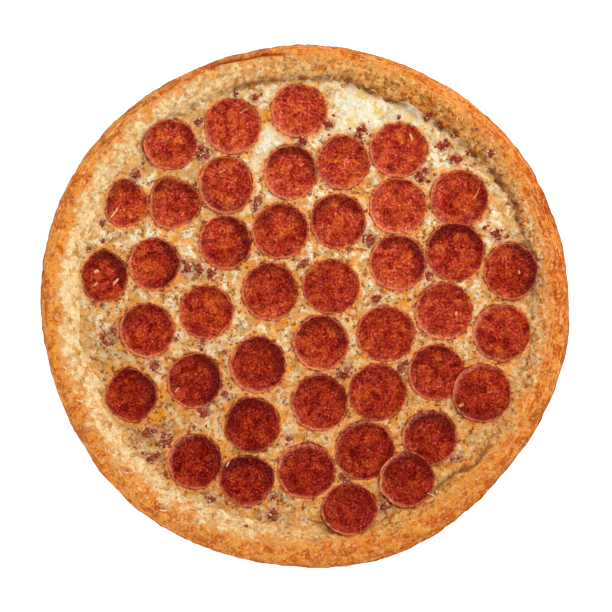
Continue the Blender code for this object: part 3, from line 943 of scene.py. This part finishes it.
cheese_notes = {  # values on the sheet, and on its skirt
    "near": (nearest, 20),
    "milk": (zone(MILKY), 0),
    "thin": (zone(THIN), 0),
    "pool": (zone(POOLS), 0),
    "baked": (smoothstep((70 - y) / 170), 0),
    "stain": (stain, 0),
    "foot": (shade, 0),
    "edge": (edge, 1),
    "curd": (curd, 0),
}
for name, (values, end) in cheese_notes.items():
    note(cheese, name, np.append(values, np.full(len(rim), end)))
print(f"cheese of {len(faces)} faces")

# %% [markdown]
# ## The slices
#
# Sliced pepperoni shrinks in the oven: its edge lifts into a thin, rounded lip, and the fat that it lets
# out leaves small dimples. Each slice is a stack of rings from the middle to the lip and round to its flat
# underside. The rings crowd together near the lip, where the form turns fastest. On some slices the lip
# stands higher on one side, and inside it that side is darker: partly char, partly painted shade.

# %% Shape the slices
RING_INSETS = (0.0, 0.12, 0.3, 0.55, 0.85, 1.2, 1.6, 2.1, 2.7, 3.4, 4.2, 5.0, 6.2, 7.6, 9.2, 11.0, 13.0)
SLICE_AROUND = 96
THICKNESS, EDGE_ROUNDING, CURL_WIDTH = 2.0, 1.2, 5.0
# towards which side each of these slices has char and painted shade inside its lip
CHAR_AND_SHADE_SIDES = {  # slice number: towards which angle it is darker, and how much
    3: (60, 0.5),
    4: (250, 0.6),
    5: (80, 0.6),
    6: (130, 0.6),
    7: (75, 0.8),
    8: (15, 0.9),
    9: (80, 0.6),
    10: (60, 0.9),
    11: (15, 1.0),
    12: (60, 0.6),
    14: (100, 0.5),
    16: (60, 0.4),
    18: (10, 0.5),
    19: (90, 0.6),
    20: (85, 1.0),
    21: (50, 0.8),
    22: (15, 1.0),
    25: (250, 0.4),
    27: (60, 0.7),
    28: (100, 0.5),
    29: (270, 0.5),
    31: (70, 0.5),
    32: (80, 0.8),
    33: (60, 0.5),
    34: (90, 0.7),
    37: (40, 0.8),
    38: (10, 1.0),
    39: (30, 0.8),
    40: (110, 0.8),
    41: (40, 0.5),
    42: (75, 1.0),
}
# painted highlights on the lips of these slices
PAINTED_LIP_GLINTS = {  # slice number: towards which angle its lip shines
    1: (250, 0.5),
    2: (250, 0.6),
    3: (200, 0.4),
    16: (260, 0.5),
    24: (250, 0.5),
    25: (140, 0.9),
    29: (130, 0.8),
    32: (130, 0.6),
    33: (135, 0.6),
    34: (140, 0.8),
    35: (110, 1.0),
    37: (240, 0.5),
    41: (150, 0.9),
    42: (280, 0.5),
}
# the side of each slice that gets painted light
LIT_SIDE = 222  # the side of every slice that curls up into the light, in degrees
PALE = {1, 2, 7, 16, 17, 21, 24}
DARK = {10, 36, 37, 38, 39, 40, 41, 42}


def slice_piece(piece):
    angle = np.linspace(0, math.tau, SLICE_AROUND, endpoint=False)
    around = np.stack((np.cos(angle) * 4, np.sin(angle) * 4, np.full(SLICE_AROUND, piece.number)), axis=1)
    outline = piece.outline(angle) + 0.38 * lumps(around, 1.2) + 0.16 * lumps(around, 0.5, 1)
    heading, char_and_shade = CHAR_AND_SHADE_SIDES.get(piece.number, (60, 0.2))
    toward_dark_side = toward(angle, heading)
    lip = piece.curl * (1 + 0.35 * char_and_shade * toward_dark_side)
    rings, depths = [], []
    for inset in RING_INSETS:
        share = 1 - inset / piece.radius
        if share < 0.1:
            break
        rise = lip * smoothstep((CURL_WIDTH - inset) / (CURL_WIDTH - EDGE_ROUNDING))
        drop = 1 - math.sqrt(max(0, 1 - max(0, 1 - inset / EDGE_ROUNDING) ** 2))
        rings.append((outline * share, THICKNESS + rise - drop))
        depths.append(inset)
    rings = rings[::-1]
    depths = depths[::-1]
    for share, height in ((0.985, 0.6), (0.95, 0.28), (0.9, 0.08), (0.84, 0.0)):
        rings.append((outline * share, np.full(SLICE_AROUND, height) * (1 + lip)))
        depths.append(0.0)
    flat = [np.stack((reach * np.cos(angle), reach * np.sin(angle), high), axis=1) for reach, high in rings]
    flat.append(np.array(((0, 0, THICKNESS), (0, 0, 0))))
    flat = np.vstack(flat)
    depth = np.append(np.repeat(depths, SLICE_AROUND), (piece.radius, 0))
    side = np.append(np.tile(toward_dark_side, len(rings)), (0, 0))
    world = flat @ piece.axes + piece.middle
    upper = np.arange(len(flat)) < len(RING_INSETS) * SLICE_AROUND
    upper[-2] = True
    bumps = 0.28 * lumps(world, 9, 31) + 0.14 * lumps(world, 3.2, 32) + 0.07 * lumps(world, 1.7, 33)
    world += np.outer(bumps * upper * smoothstep(depth / 2), piece.up)
    faces = net(len(rings), SLICE_AROUND)
    first, last = len(flat) - 2, (len(rings) - 1) * SLICE_AROUND
    for i in range(SLICE_AROUND):
        after = (i + 1) % SLICE_AROUND
        faces.append((first, after, i))
        faces.append((first + 1, last + i, last + after))
    name = f"pepperoni_{piece.number:02d}"
    made = new_piece(f"{name}_cooked", world, [face[::-1] for face in faces], [name])
    note(made, "depth", depth)
    # char and painted shade on the dark side, near the lip
    near_lip = smoothstep(1.15 - abs(depth - 3.2) / 5.2)
    note(made, "char_and_shade", char_and_shade * smoothstep((side + 0.35) / 1.1) * near_lip)
    # painted light on the side that faces the lamp: a wider lip line and a rosier zone
    lit = np.append(np.tile(0.5 + 0.5 * toward(angle, LIT_SIDE), len(rings)), (0.5, 0.5))
    lit = smoothstep(lit) * (0.35 + 0.65 * (piece.number * 37 % 10) / 9)
    note(made, "lip", 1 - smoothstep((depth - 0.1) / (0.7 + 2.2 * lit)))
    note(made, "painted_rosy_light", lit * (1 - smoothstep((depth - 1) / 10)))
    heading, painted_shine = PAINTED_LIP_GLINTS.get(piece.number, (0, 0))
    facing = np.append(np.tile(toward(angle, heading), len(rings)), (0, 0))
    note(made, "painted_shine", painted_shine * smoothstep((facing - 0.25) / 0.6) * smoothstep(1 - abs(depth - 1.6) / 2.2))
    tone = 0.5 + piece.middle[1] / 300 + 0.2 * (piece.number in PALE) - 0.15 * (piece.number in DARK)
    note(made, "tone", np.full(len(flat), tone))
    return made


slice_pieces = [slice_piece(piece) for piece in slices]
print(f"{len(slice_pieces)} slices of {len(slice_pieces[0].data.polygons)} faces")

# %% [markdown]
# ## Finding the surface from above
#
# Crumbs and shreds lie on whatever is under them, which may be cheese, crust or a slice. A search tree of
# each piece's faces quickly tells where a ray from straight above lands. A physics run could drop the
# crumbs, but would let them roll away from where they belong.

# %% Plant the search trees
graph = bpy.context.evaluated_depsgraph_get()
graph.update()
tops = [BVHTree.FromObject(piece, graph) for piece in [crust, cheese] + slice_pieces]


def surface_height(x, y):
    """The height of whatever lies on top at this place."""
    hits = [tree.ray_cast(Vector((x * MM, y * MM, 1)), Vector((0, 0, -1)))[0] for tree in tops]
    return max(hit.z for hit in hits if hit) / MM


print(f"topping {surface_height(0, 0):.1f} mm high in the middle")

# %% [markdown]
# ## The meat crumbs
#
# Cooked, crumbled meat is a knot of small nodules with dark crevices between them, and here and there a
# pale bit of fat. Each crumb is a lumpy core with smaller nodules pressed into its sides. Besides the
# crumbs of the solid there are smaller ones, some of them on the slope of the rim. They are joined into one
# mesh, since there are hundreds of them and they move as one.

# %% Make the meat crumbs
CRUMB_SEED = 11
NODULES = (9, 13)
LOOSE_CRUMBS = 110
SMALL_CRUMBS = (  # crumbs too small for a solid: middle and radius
    (62, 125, 1.4),
    (81, 126, 2.2),
    (90, 120, 2.0),
    (97, 113, 1.4),
    (107.5, 101, 1.8),
    (112, 94, 1.2),
    (113, 116, 1.1),
    (122, 101, 2.4),
    (-53, -30, 1.5),
    (-73, -80, 1.5),
    (-92, -111, 1.5),
    (-52, -130, 1.2),
    (-39, -145, 1.4),
    (-134, 43, 1.4),
    (-143, 38, 1.2),
    (-46, 140, 1.5),
    (-74, 80, 1.1),
    (-139, 3, 1.6),
    (-134, 1, 1.2),
    (-27, 29, 1.2),
    (119, 52, 1.3),
    (-85, -22, 1.0),
)

rng = random.Random(CRUMB_SEED)
ball = bmesh.new()
bmesh.ops.create_icosphere(ball, subdivisions=3, radius=1)
ball_points = np.array([vertex.co for vertex in ball.verts])
ball_faces = np.array([[vertex.index for vertex in face.verts] for face in ball.faces])
ball.free()
meat_points, meat_faces, meat_tone, nodule_shade_height = [], [], [], []


def add_nodule(middle, radius, pale):
    """One knobbly nodule: a ball whose points are pushed in and out by noise."""
    stretch = np.array([rng.uniform(0.65, 1.25) for _ in range(3)])
    start = rng.uniform(0, 50)
    rough = 1 + 0.28 * lumps(ball_points * 1.3 + start, 0.9) + 0.12 * lumps(ball_points * 1.3 + start, 0.4, 2)
    meat_faces.append(ball_faces + sum(len(points) for points in meat_points))
    meat_points.append(middle + ball_points * rough[:, None] * stretch * radius)
    meat_tone.append(np.full(len(ball_points), pale))
    nodule_shade_height.append(ball_points[:, 2])


def add_crumb(cx, cy, reach):
    """A lumpy core with smaller nodules pressed into its sides."""
    level = surface_height(cx, cy)
    add_nodule(np.array((cx, cy, level + 0.5)), 0.82 * reach, rng.uniform(0, 0.35))
    for _ in range(rng.randint(*NODULES)):
        heading, small = rng.uniform(0, math.tau), rng.uniform(0.18, 0.46) * reach
        away = rng.uniform(0.5, 1.3) * reach
        x, y = cx + away * math.cos(heading), cy + away * math.sin(heading)
        place = np.array((x, y, level + rng.uniform(0.1, 1.1)))
        add_nodule(place, small, rng.choice((0.1, 0.3, 0.6, 0.8, 1.0)))


for cx, cy, reach in crumbs + list(SMALL_CRUMBS):
    add_crumb(cx, cy, reach)

loose = 0
while loose < LOOSE_CRUMBS:
    near_x, near_y, reach = rng.choice(crumbs)
    heading, away = rng.uniform(0, math.tau), reach + rng.uniform(0.5, 6)
    spot = near_x + away * math.cos(heading), near_y + away * math.sin(heading)
    small = rng.uniform(0.5, 1.1)
    if min(piece.beyond(*spot) for piece in slices) > small + 0.2 and math.hypot(*spot) < 145:
        add_nodule(np.array((*spot, surface_height(*spot) + 0.2)), small, rng.choice((0.0, 0.2, 0.6)))
        loose += 1

meat = new_piece("meat_crumbs", np.vstack(meat_points), np.vstack(meat_faces).tolist())
middle_x, middle_y = np.array([points.mean(axis=0)[:2] for points in meat_points]).T
red = smoothstep((middle_x + middle_y) / 120 - 0.2)
note(meat, "red", np.repeat(red, len(ball_points)))
note(meat, "pale", np.concatenate(meat_tone))
# how high each point lies on its nodule, for the painted shade in the crevices
note(meat, "top", np.concatenate(nodule_shade_height))
print(f"{len(meat_points)} nodules, {len(meat.data.polygons)} faces")

# %% [markdown]
# ## Shreds of cheese
#
# Not every shred melts away. On the rim's slope, most of all at the lower left, they dry into thin, curved
# threads, and a few lie across the slices. Each is a short path along the surface under it, found by
# looking straight down, with a low rounded ridge built over it.

# %% Make the shreds
SHRED_SEED = 5
SLOPE_SHREDS = 130
SHRED_STEPS, SHRED_SIDES = 9, 5
PLACED_SHREDS = (  # middle, heading, length, width and how much red oil it has soaked up
    (71, 111.5, 80, 6.0, 1.5, 0.2),
    (114, 73.5, 42, 10.0, 0.7, 0.6),
    (100, -5.0, 80, 3.0, 1.9, 0.1),
    (103, -64.5, 160, 3.6, 2.2, 0.0),
    (-125.5, 61.5, 40, 8.0, 1.5, 0.5),
    (-41, 129.5, 45, 7.0, 0.8, 0.9),
    (-55, 88.5, 5, 5.5, 0.8, 0.8),
    (-138, 23, 15, 4.0, 2.8, 0.7),
    (-138.5, 14, 20, 4.0, 1.8, 0.6),
    (-125.5, 16.5, 60, 5.5, 2.0, 0.6),
    (141.5, 22.4, 70, 2.6, 1.8, 0.8),
    (-81, -16, 110, 3.6, 1.1, 0.4),
    (-85, -55, 60, 4.0, 0.9, 0.3),
    (-51, -103, 70, 8.0, 0.9, 0.2),
)

rng = random.Random(SHRED_SEED)
shred_points, shred_faces, shred_soak = [], [], []


def add_shred(x, y, heading, length, width, soak):
    bend = rng.uniform(-1.3, 1.3) / length
    path = []
    for number in range(SHRED_STEPS):
        path.append((x, y))
        heading += bend * length / SHRED_STEPS + rng.uniform(-0.12, 0.12)
        x += math.cos(heading) * length / (SHRED_STEPS - 1)
        y += math.sin(heading) * length / (SHRED_STEPS - 1)
    heights = np.array([surface_height(*point) for point in path])
    heights = np.convolve(np.pad(heights, 1, mode="edge"), (0.25, 0.5, 0.25), mode="valid")
    path = np.array(path)
    forward = np.gradient(path, axis=0)
    forward /= np.linalg.norm(forward, axis=1, keepdims=True)
    start = len(shred_points)
    for number, (point, (fx, fy), level) in enumerate(zip(path, forward, heights)):
        taper = math.sin(math.pi * (number + 0.35) / (SHRED_STEPS - 0.3)) ** 0.5
        for side in range(SHRED_SIDES * 2 - 2):
            turn = math.pi * side / (SHRED_SIDES - 1)
            off, up = math.cos(turn) * width / 2 * taper, math.sin(turn) * width * 0.22 * taper
            shred_points.append((point[0] - fy * off, point[1] + fx * off, level + up))
            shred_soak.append(soak)
    around = SHRED_SIDES * 2 - 2
    shred_faces.extend(net(SHRED_STEPS, around, start=start))
    shred_faces.append(tuple(start + i for i in reversed(range(around))))
    shred_faces.append(tuple(start + (SHRED_STEPS - 1) * around + i for i in range(around)))


for x, y, heading, length, width, soak in PLACED_SHREDS:
    heading = math.radians(heading)
    x, y = x - math.cos(heading) * length / 2, y - math.sin(heading) * length / 2
    add_shred(x, y, heading, length, width, soak)
for number in range(SLOPE_SHREDS):
    low_left = number % 5 < 3  # most of them lie at the lower left
    angle = math.radians(rng.uniform(*((193, 262) if low_left else (0, 360))))
    radius = rng.uniform(147, 163) if low_left else rng.uniform(146, 158)
    x, y = radius * math.cos(angle), radius * math.sin(angle)
    if min(piece.beyond(x, y) for piece in slices) > 4:
        heading, length = rng.uniform(0, math.tau), rng.uniform(3, 8)
        add_shred(x, y, heading, length, rng.uniform(0.7, 1.3), rng.uniform(0, 0.3))
shreds = new_piece("cheese_shreds", shred_points, shred_faces)
note(shreds, "soak", shred_soak)
note(shreds, "near", np.full(len(shred_points), 20))
note(shreds, "curd", np.full(len(shred_points), 0.6))
print(f"{len(shred_points) // (SHRED_STEPS * (SHRED_SIDES * 2 - 2))} shreds")

# %% [markdown]
# ## The crust's finish
#
# Baked dough is orange-brown, deeper where it faces the oven's wall, with darker toasted dots. Its skin is
# drawn out in streaks along the rim, except at the lower left, where it is pebbly. The band gets painted
# light at the left, painted shade at the upper right, and a line of painted shade where it turns under.
# The slope is a mottle of cream, tan and olive, where dried cheese, flour and oil lie side by side:
# creamier at the left, where it also gets painted light, browner at the lower right, and painted in shade
# at the upper right, where it faces away from the lamp. The note that marks the coating switches between
# the two, and the fold is darker in its depth. Mixing two plain colours would be simpler, and would look
# like plastic.

# %% Mix the crust's finish
dough = Finish("crust_finish")
skin_place = dough.noted("skin", "Vector")
climbed, dry_and_lit, pebbled, painted_shade_side = (dough.noted(name) for name in ("climb", "dry_and_lit", "pebbled", "painted_shade_side"))
wrinkles = dough.mix(pebbled, dough.patches(1.3, 0.0, 4.0, skin_place), dough.patches(1.7, 27.0, 4.0))
along_rim = vector(dough.tree, "MULTIPLY", skin_place, (0.34, 0.34, 1.0))
up_slope = vector(dough.tree, "MULTIPLY", skin_place, (3.4, 3.4, 0.28))
drawn = dough.line(pebbled, -0.8, 1.0)
streaks = dough.mottle(1.5, 8.0, 3.0, 0.55, 0.85, along_rim)
streaks = dough.times(streaks, dough.mottle(26.0, 41.0, 1.0, 0.0, 0.7))
browned = dough.times(band(dough.tree, climbed, 1.2, 1.8), dough.line(dry_and_lit, -0.25, 0.3))
bare_colour = dough.stack(
    dough.mix(wrinkles, rgb(180, 68, 0), rgb(250, 146, 44)),
    (dough.mottle(6.0, 12.0, 3.0, 0.35, 0.75), 0.75, rgb(248, 168, 72)),
    # painted light: lighter patches on the band at the left
    (dough.times(dry_and_lit, dough.mottle(4.5, 33.0, 4.0, 0.1, 0.7)), 0.7, rgb(255, 166, 64)),
    (dough.mottle(10.0, 2.0, 3.0, 0.4, 0.75), 0.7, rgb(194, 74, 0)),
    (browned, 1.0, rgb(194, 84, 8)),
    (dough.mottle(2.4, 46.0, 3.0, 0.6, 0.95), 0.5, rgb(255, 204, 146)),  # flour
    # painted shade on the band's upper right
    (painted_shade_side, 0.5, rgb(255, 240, 214), "MULTIPLY"),
    # painted shade where the rim turns under, a dark line at its outline
    (band(dough.tree, climbed, 1.72, 1.93), 0.85, rgb(92, 34, 10)),  # the turn to the underside
    (dough.times(streaks, drawn), 0.75, rgb(164, 62, 8)),
    (dough.times(dough.mottle(1.6, 58.0, 3.0, 0.6, 0.9, along_rim), drawn), 0.5, rgb(255, 186, 112)),
    (dough.spots(2.6, 0.45, 0.34), 0.5, rgb(142, 52, 8)),
    (dough.times(dough.noted("toast"), dough.patches(1.8, 3.0, 2.0, skin_place)), 1.0, rgb(160, 52, 6)),
)

# creamier towards the left: drier cheese, and painted light
creamy_and_lit = dough.line(dry_and_lit, 0.45, 0.45)
painted_trench_shade = dough.times(dough.outside(climbed, 0.45, 0.95), painted_shade_side)
floured = dough.times(dough.noted("floured"), dough.mottle(3.2, 61.0, 3.0, 0.35, 0.8))
slope_colour = dough.stack(
    dough.mix(band(dough.tree, dough.noted("curd"), 0.1, 0.7), rgb(172, 96, 28), rgb(246, 198, 118)),
    (dough.mottle(3.4, 1.0, 3.0, 0.4, 0.85), creamy_and_lit, rgb(254, 232, 182)),  # tufts
    (dough.mottle(1.4, 15.0, 3.0, 0.5, 0.9, up_slope), creamy_and_lit, rgb(255, 236, 188)),  # fibres
    (dough.mottle(8.0, 4.0, 2.0, 0.45, 0.75), 0.8, rgb(186, 122, 50)),  # olive
    (dough.mottle(8.0, 7.0, 2.0, 0.5, 0.8), 0.8, rgb(238, 152, 58)),  # gold
    (dough.times(dry_and_lit, dough.mottle(7.0, 35.0, 3.0, 0.1, 0.6)), 0.8, rgb(255, 232, 174)),  # clotted
    (dough.mottle(3.0, 11.0, 3.0, 0.45, 0.85), dough.line(dry_and_lit, -0.7, 0.9), rgb(148, 70, 16)),  # scorched
    # painted shade on the slope's upper right, which faces away from the lamp
    (painted_shade_side, 1.0, rgb(255, 230, 184), "MULTIPLY"),
    # painted shade low on the slope at the upper right, near its foot
    (painted_trench_shade, 0.35, rgb(214, 168, 118), "MULTIPLY"),
    (dough.noted("rusty"), 0.8, rgb(232, 198, 132), "MULTIPLY"),
    (floured, 0.6, rgb(254, 228, 180)),
)

coated = band(dough.tree, dough.line(dough.patches(3.6, 14.0, 4.0), 0.7, dough.noted("coat")), 0.45, 1.25)
colour = dough.stack(
    dough.mix(coated, bare_colour, slope_colour),
    (dough.times(coated, dough.line(coated, -1.0, 1.0)), 2.6, rgb(232, 154, 76)),  # the border of the two
    # painted shade along the foot of the slope and the lap
    (dough.noted("foot"), 0.8, rgb(104, 42, 6)),
    (dough.noted("fold"), 0.85, rgb(120, 40, 6)),
)
dough.shader.inputs["Specular IOR Level"].default_value = 0.03
colour, roughness = dough.grain(colour, 1.2, 13), dough.line(dough.patches(4.0, 9.0, 2.0), 0.2, 0.5)
dough.give([crust], colour, roughness, calc(dough.tree, "ADD", dough.patches(2.2, 5.0, 3.0), wrinkles), 0.15)
print("crust finish")

# %% [markdown]
# ## The cheese's finish
#
# Melted cheese is cream with whiter, thicker parts and yellower, thinner ones where oil has soaked in.
# Beside the slices it takes up their orange fat and is seared here and there, and it gets painted shade at
# their edges. Round the crumbs it is stained, and along the crust's foot it gets painted shade. Browned bits
# and dried herbs leave dark specks. The shreds share this finish, since they are the same cheese.

# %% Mix the cheese's finish
melt = Finish("cheese_finish")
near, milk, curd, stain = (melt.noted(name) for name in ("near", "milk", "curd", "stain"))
baked = melt.mix(melt.noted("baked"), (1, 1, 1, 1), rgb(242, 220, 200))
oily = melt.line(melt.mottle(9.0, 8.0, 3.0, 0.3, 0.65), 0.7, 0.15)
seared_and_shaded = melt.mix(melt.mottle(4.0, 11.0, 3.0, 0.42, 0.68), rgb(255, 178, 104), rgb(136, 32, 2))
bits = melt.times(melt.mottle(2.8, 7.0, 3.0, 0.58, 0.85), melt.mottle(8.0, 65.0, 2.0, 0.1, 0.7))
border = melt.times(melt.noted("edge"), melt.mottle(4.0, 23.0, 3.0, 0.1, 0.7))
colour = melt.stack(
    melt.mix(band(melt.tree, curd, 0.0, 0.45), rgb(210, 130, 48), rgb(252, 214, 146)),
    (melt.mottle(5.0, 1.0, 3.0, 0.34, 0.6), 1.0, rgb(255, 247, 212)),  # thick and pale
    (melt.mottle(7.0, 3.0, 2.0, 0.5, 0.8), 0.75, rgb(210, 148, 62)),  # thin
    (melt.mottle(1.7, 47.0, 3.0, 0.4, 0.9), 0.35, rgb(208, 166, 88)),  # misted with oil
    (melt.noted("thin"), 0.5, rgb(204, 170, 100)),
    (melt.outside(curd, 0.05, 0.4), 0.75, rgb(156, 72, 14)),  # creases
    (1.0, 1.0, baked, "MULTIPLY"),
    (melt.mottle(6.0, 5.0, 2.0, 0.55, 0.8), 0.65, rgb(244, 152, 44)),  # gold
    (milk, 0.85, rgb(255, 249, 222)),
    (melt.times(melt.mottle(7.5, 21.0, 1.5, 0.55, 0.85), milk), 0.8, rgb(248, 206, 96)),
    (melt.outside(near, 0.4, 4.6), oily, rgb(244, 146, 44)),  # fat round the slices
    (melt.times(melt.noted("pool"), melt.patches(4.0, 2.0, 2.0)), 1.4, rgb(240, 150, 14)),
    # seared fat, and painted shade at the slices' edges
    (melt.outside(near, 0.2, 2.3), 0.75, seared_and_shaded),
    (bits, melt.line(milk, -0.7, 0.85), rgb(136, 46, 6)),
    (stain, 0.75, rgb(255, 204, 158)),
    (melt.times(stain, melt.mottle(2.6, 50.0, 3.0, 0.2, 0.7)), 0.7, rgb(166, 58, 16)),
    (border, 0.8, rgb(246, 194, 120)),
    # painted shade along the crust's foot and the lap
    (melt.noted("foot"), 0.8, rgb(104, 48, 12)),
    (melt.noted("soak"), 0.75, rgb(226, 122, 78)),
    (melt.spots(3.8, 0.25, 0.14), 0.55, rgb(104, 76, 20)),  # herbs
    (melt.spots(2.1, 0.25, 0.22), 0.18, rgb(132, 98, 36)),
)
melt.shader.inputs["Specular IOR Level"].default_value = 0.16
melt.shader.inputs["Specular Tint"].default_value = (1, 0.85, 0.6, 1)
colour, roughness = melt.grain(colour, 1.3, 11, 44.0), melt.line(melt.patches(3.0, 9.0, 2.0), 0.25, 0.25)
melt.give([cheese, shreds], colour, roughness, melt.patches(2.2, 5.0, 3.0), 0.4)
print("cheese finish")

# %% [markdown]
# ## The pepperoni's finish
#
# Cured sausage is a red paste with flecks of fat, and baking draws paprika-red oil to its surface. The
# colour goes from maroon to orange-red within a few millimetres. Wider zones multiply the paste's colour
# and don't cover it, so its mottle stays clear in them. Painted light draws an orange line along the lip,
# for light that shines through its thin edge. At the lower left, where the lip curls up towards the lamp,
# the painted light makes the line wider and the slice rosier. A few lips also get a painted highlight.

# %% Mix the pepperoni's finish
sausage = Finish("pepperoni_finish")
depth, tone, painted_rosy_light = (sausage.noted(name) for name in ("depth", "tone", "painted_rosy_light"))
paste = sausage.patches(2.1, 1.0, 4.0)
fat = sausage.spots(1.9, 0.3, 0.3)
ring = sausage.times(band(sausage.tree, depth, 0.8, 1.8), sausage.outside(depth, 2.2, 4.4))
char_and_shade_patches = calc(sausage.tree, "ADD", sausage.patches(3.0, 16.0, 3.0), 0.6)
char_and_shade = calc(sausage.tree, "MULTIPLY", sausage.noted("char_and_shade"), char_and_shade_patches, clamp=True)
uneven = sausage.line(sausage.mottle(4.0, 26.0, 3.0, 0.1, 0.8), 0.5, 0.05)
painted_shine_mask = calc(sausage.tree, "MULTIPLY", sausage.noted("painted_shine"), sausage.patches(2.6, 20.0, 3.0), clamp=True)
colour = sausage.stack(
    sausage.mix(paste, rgb(138, 12, 2), rgb(196, 54, 30)),
    # painted light: rosier towards the lamp
    (sausage.times(painted_rosy_light, sausage.patches(2.4, 39.0, 3.0)), 0.75, rgb(230, 92, 66)),
    # light flecks: fat, and painted glints in place of sharp highlights
    (sausage.mottle(1.5, 38.0, 4.0, 0.55, 0.95), 0.45, rgb(236, 124, 92)),  # flecks
    (sausage.mottle(7.0, 4.0, 3.0, 0.4, 0.8), 0.5, rgb(200, 78, 16)),  # warm
    (sausage.mottle(5.0, 6.0, 3.0, 0.5, 0.85), 0.6, rgb(112, 4, 2)),  # deep
    (sausage.mottle(10.0, 43.0, 2.0, 0.4, 0.8), 0.8, (0.62, 0.28, 0.3, 1), "MULTIPLY"),
    (sausage.mottle(11.0, 53.0, 2.0, 0.45, 0.8), 0.7, (1.3, 2.0, 1.6, 1), "MULTIPLY"),
    (band(sausage.tree, tone, 0.45, 1.0), 1.0, (1.24, 1.6, 1.8, 1), "MULTIPLY"),
    (band(sausage.tree, tone, 0.55, 0.0), 1.0, (0.7, 0.45, 0.5, 1), "MULTIPLY"),
    (fat, 0.3, rgb(246, 150, 110)),
    (sausage.spots(2.3, 0.45, 0.42), 0.35, rgb(92, 8, 4)),
    (ring, 0.2, rgb(104, 8, 2)),
    # char and painted shade inside the raised lip
    (char_and_shade, 0.8, rgb(88, 8, 8)),
    # painted light along the lip, wider and rosier towards the lamp
    (sausage.noted("lip"), sausage.line(painted_rosy_light, 0.45, uneven), rgb(250, 146, 98)),
    # painted highlights on the lips
    (painted_shine_mask, 0.7, rgb(246, 152, 120)),
)
sausage.shader.inputs["Specular IOR Level"].default_value = 0.08
sausage.shader.inputs["Specular Tint"].default_value = (1, 0.6, 0.5, 1)
colour, roughness = sausage.grain(colour, 1.2, 23), sausage.line(sausage.patches(2.0, 9.0, 2.0), 0.25, 0.25)
sausage.give(slice_pieces, colour, roughness, calc(sausage.tree, "SUBTRACT", paste, fat), 0.2)
print("pepperoni finish")

# %% [markdown]
# ## The meat's finish
#
# Browned meat is pinkish brown on its knobs, and its crevices get painted shade, nearly black-red. The crumbs
# of fat among it are pale. The note of how high a point lies on its nodule sets that painted shade: the
# lower, the darker.

# %% Mix the meat's finish
mince = Finish("meat_finish")
knobs = mince.patches(1.3, 1.0, 3.0)
colour = mince.stack(
    mince.mix(knobs, rgb(112, 30, 8), rgb(216, 104, 66)),
    (mince.noted("red"), 1.0, mince.mix(knobs, rgb(110, 14, 4), rgb(206, 76, 50))),
    (band(mince.tree, mince.noted("pale"), 0.45, 1.0), 1.0, rgb(250, 206, 172)),  # fat
    # painted shade in the crevices, low on each nodule
    (mince.outside(mince.noted("top"), 0.0, 0.7), 0.85, rgb(84, 16, 2)),  # crevices
)
mince.shader.inputs["Specular IOR Level"].default_value = 0.15
mince.shader.inputs["Specular Tint"].default_value = (1, 0.55, 0.4, 1)
mince.give([meat], mince.grain(colour, 0.9, 14), 0.35, mince.patches(0.9, 5.0, 2.0), 0.2)
print("meat finish")
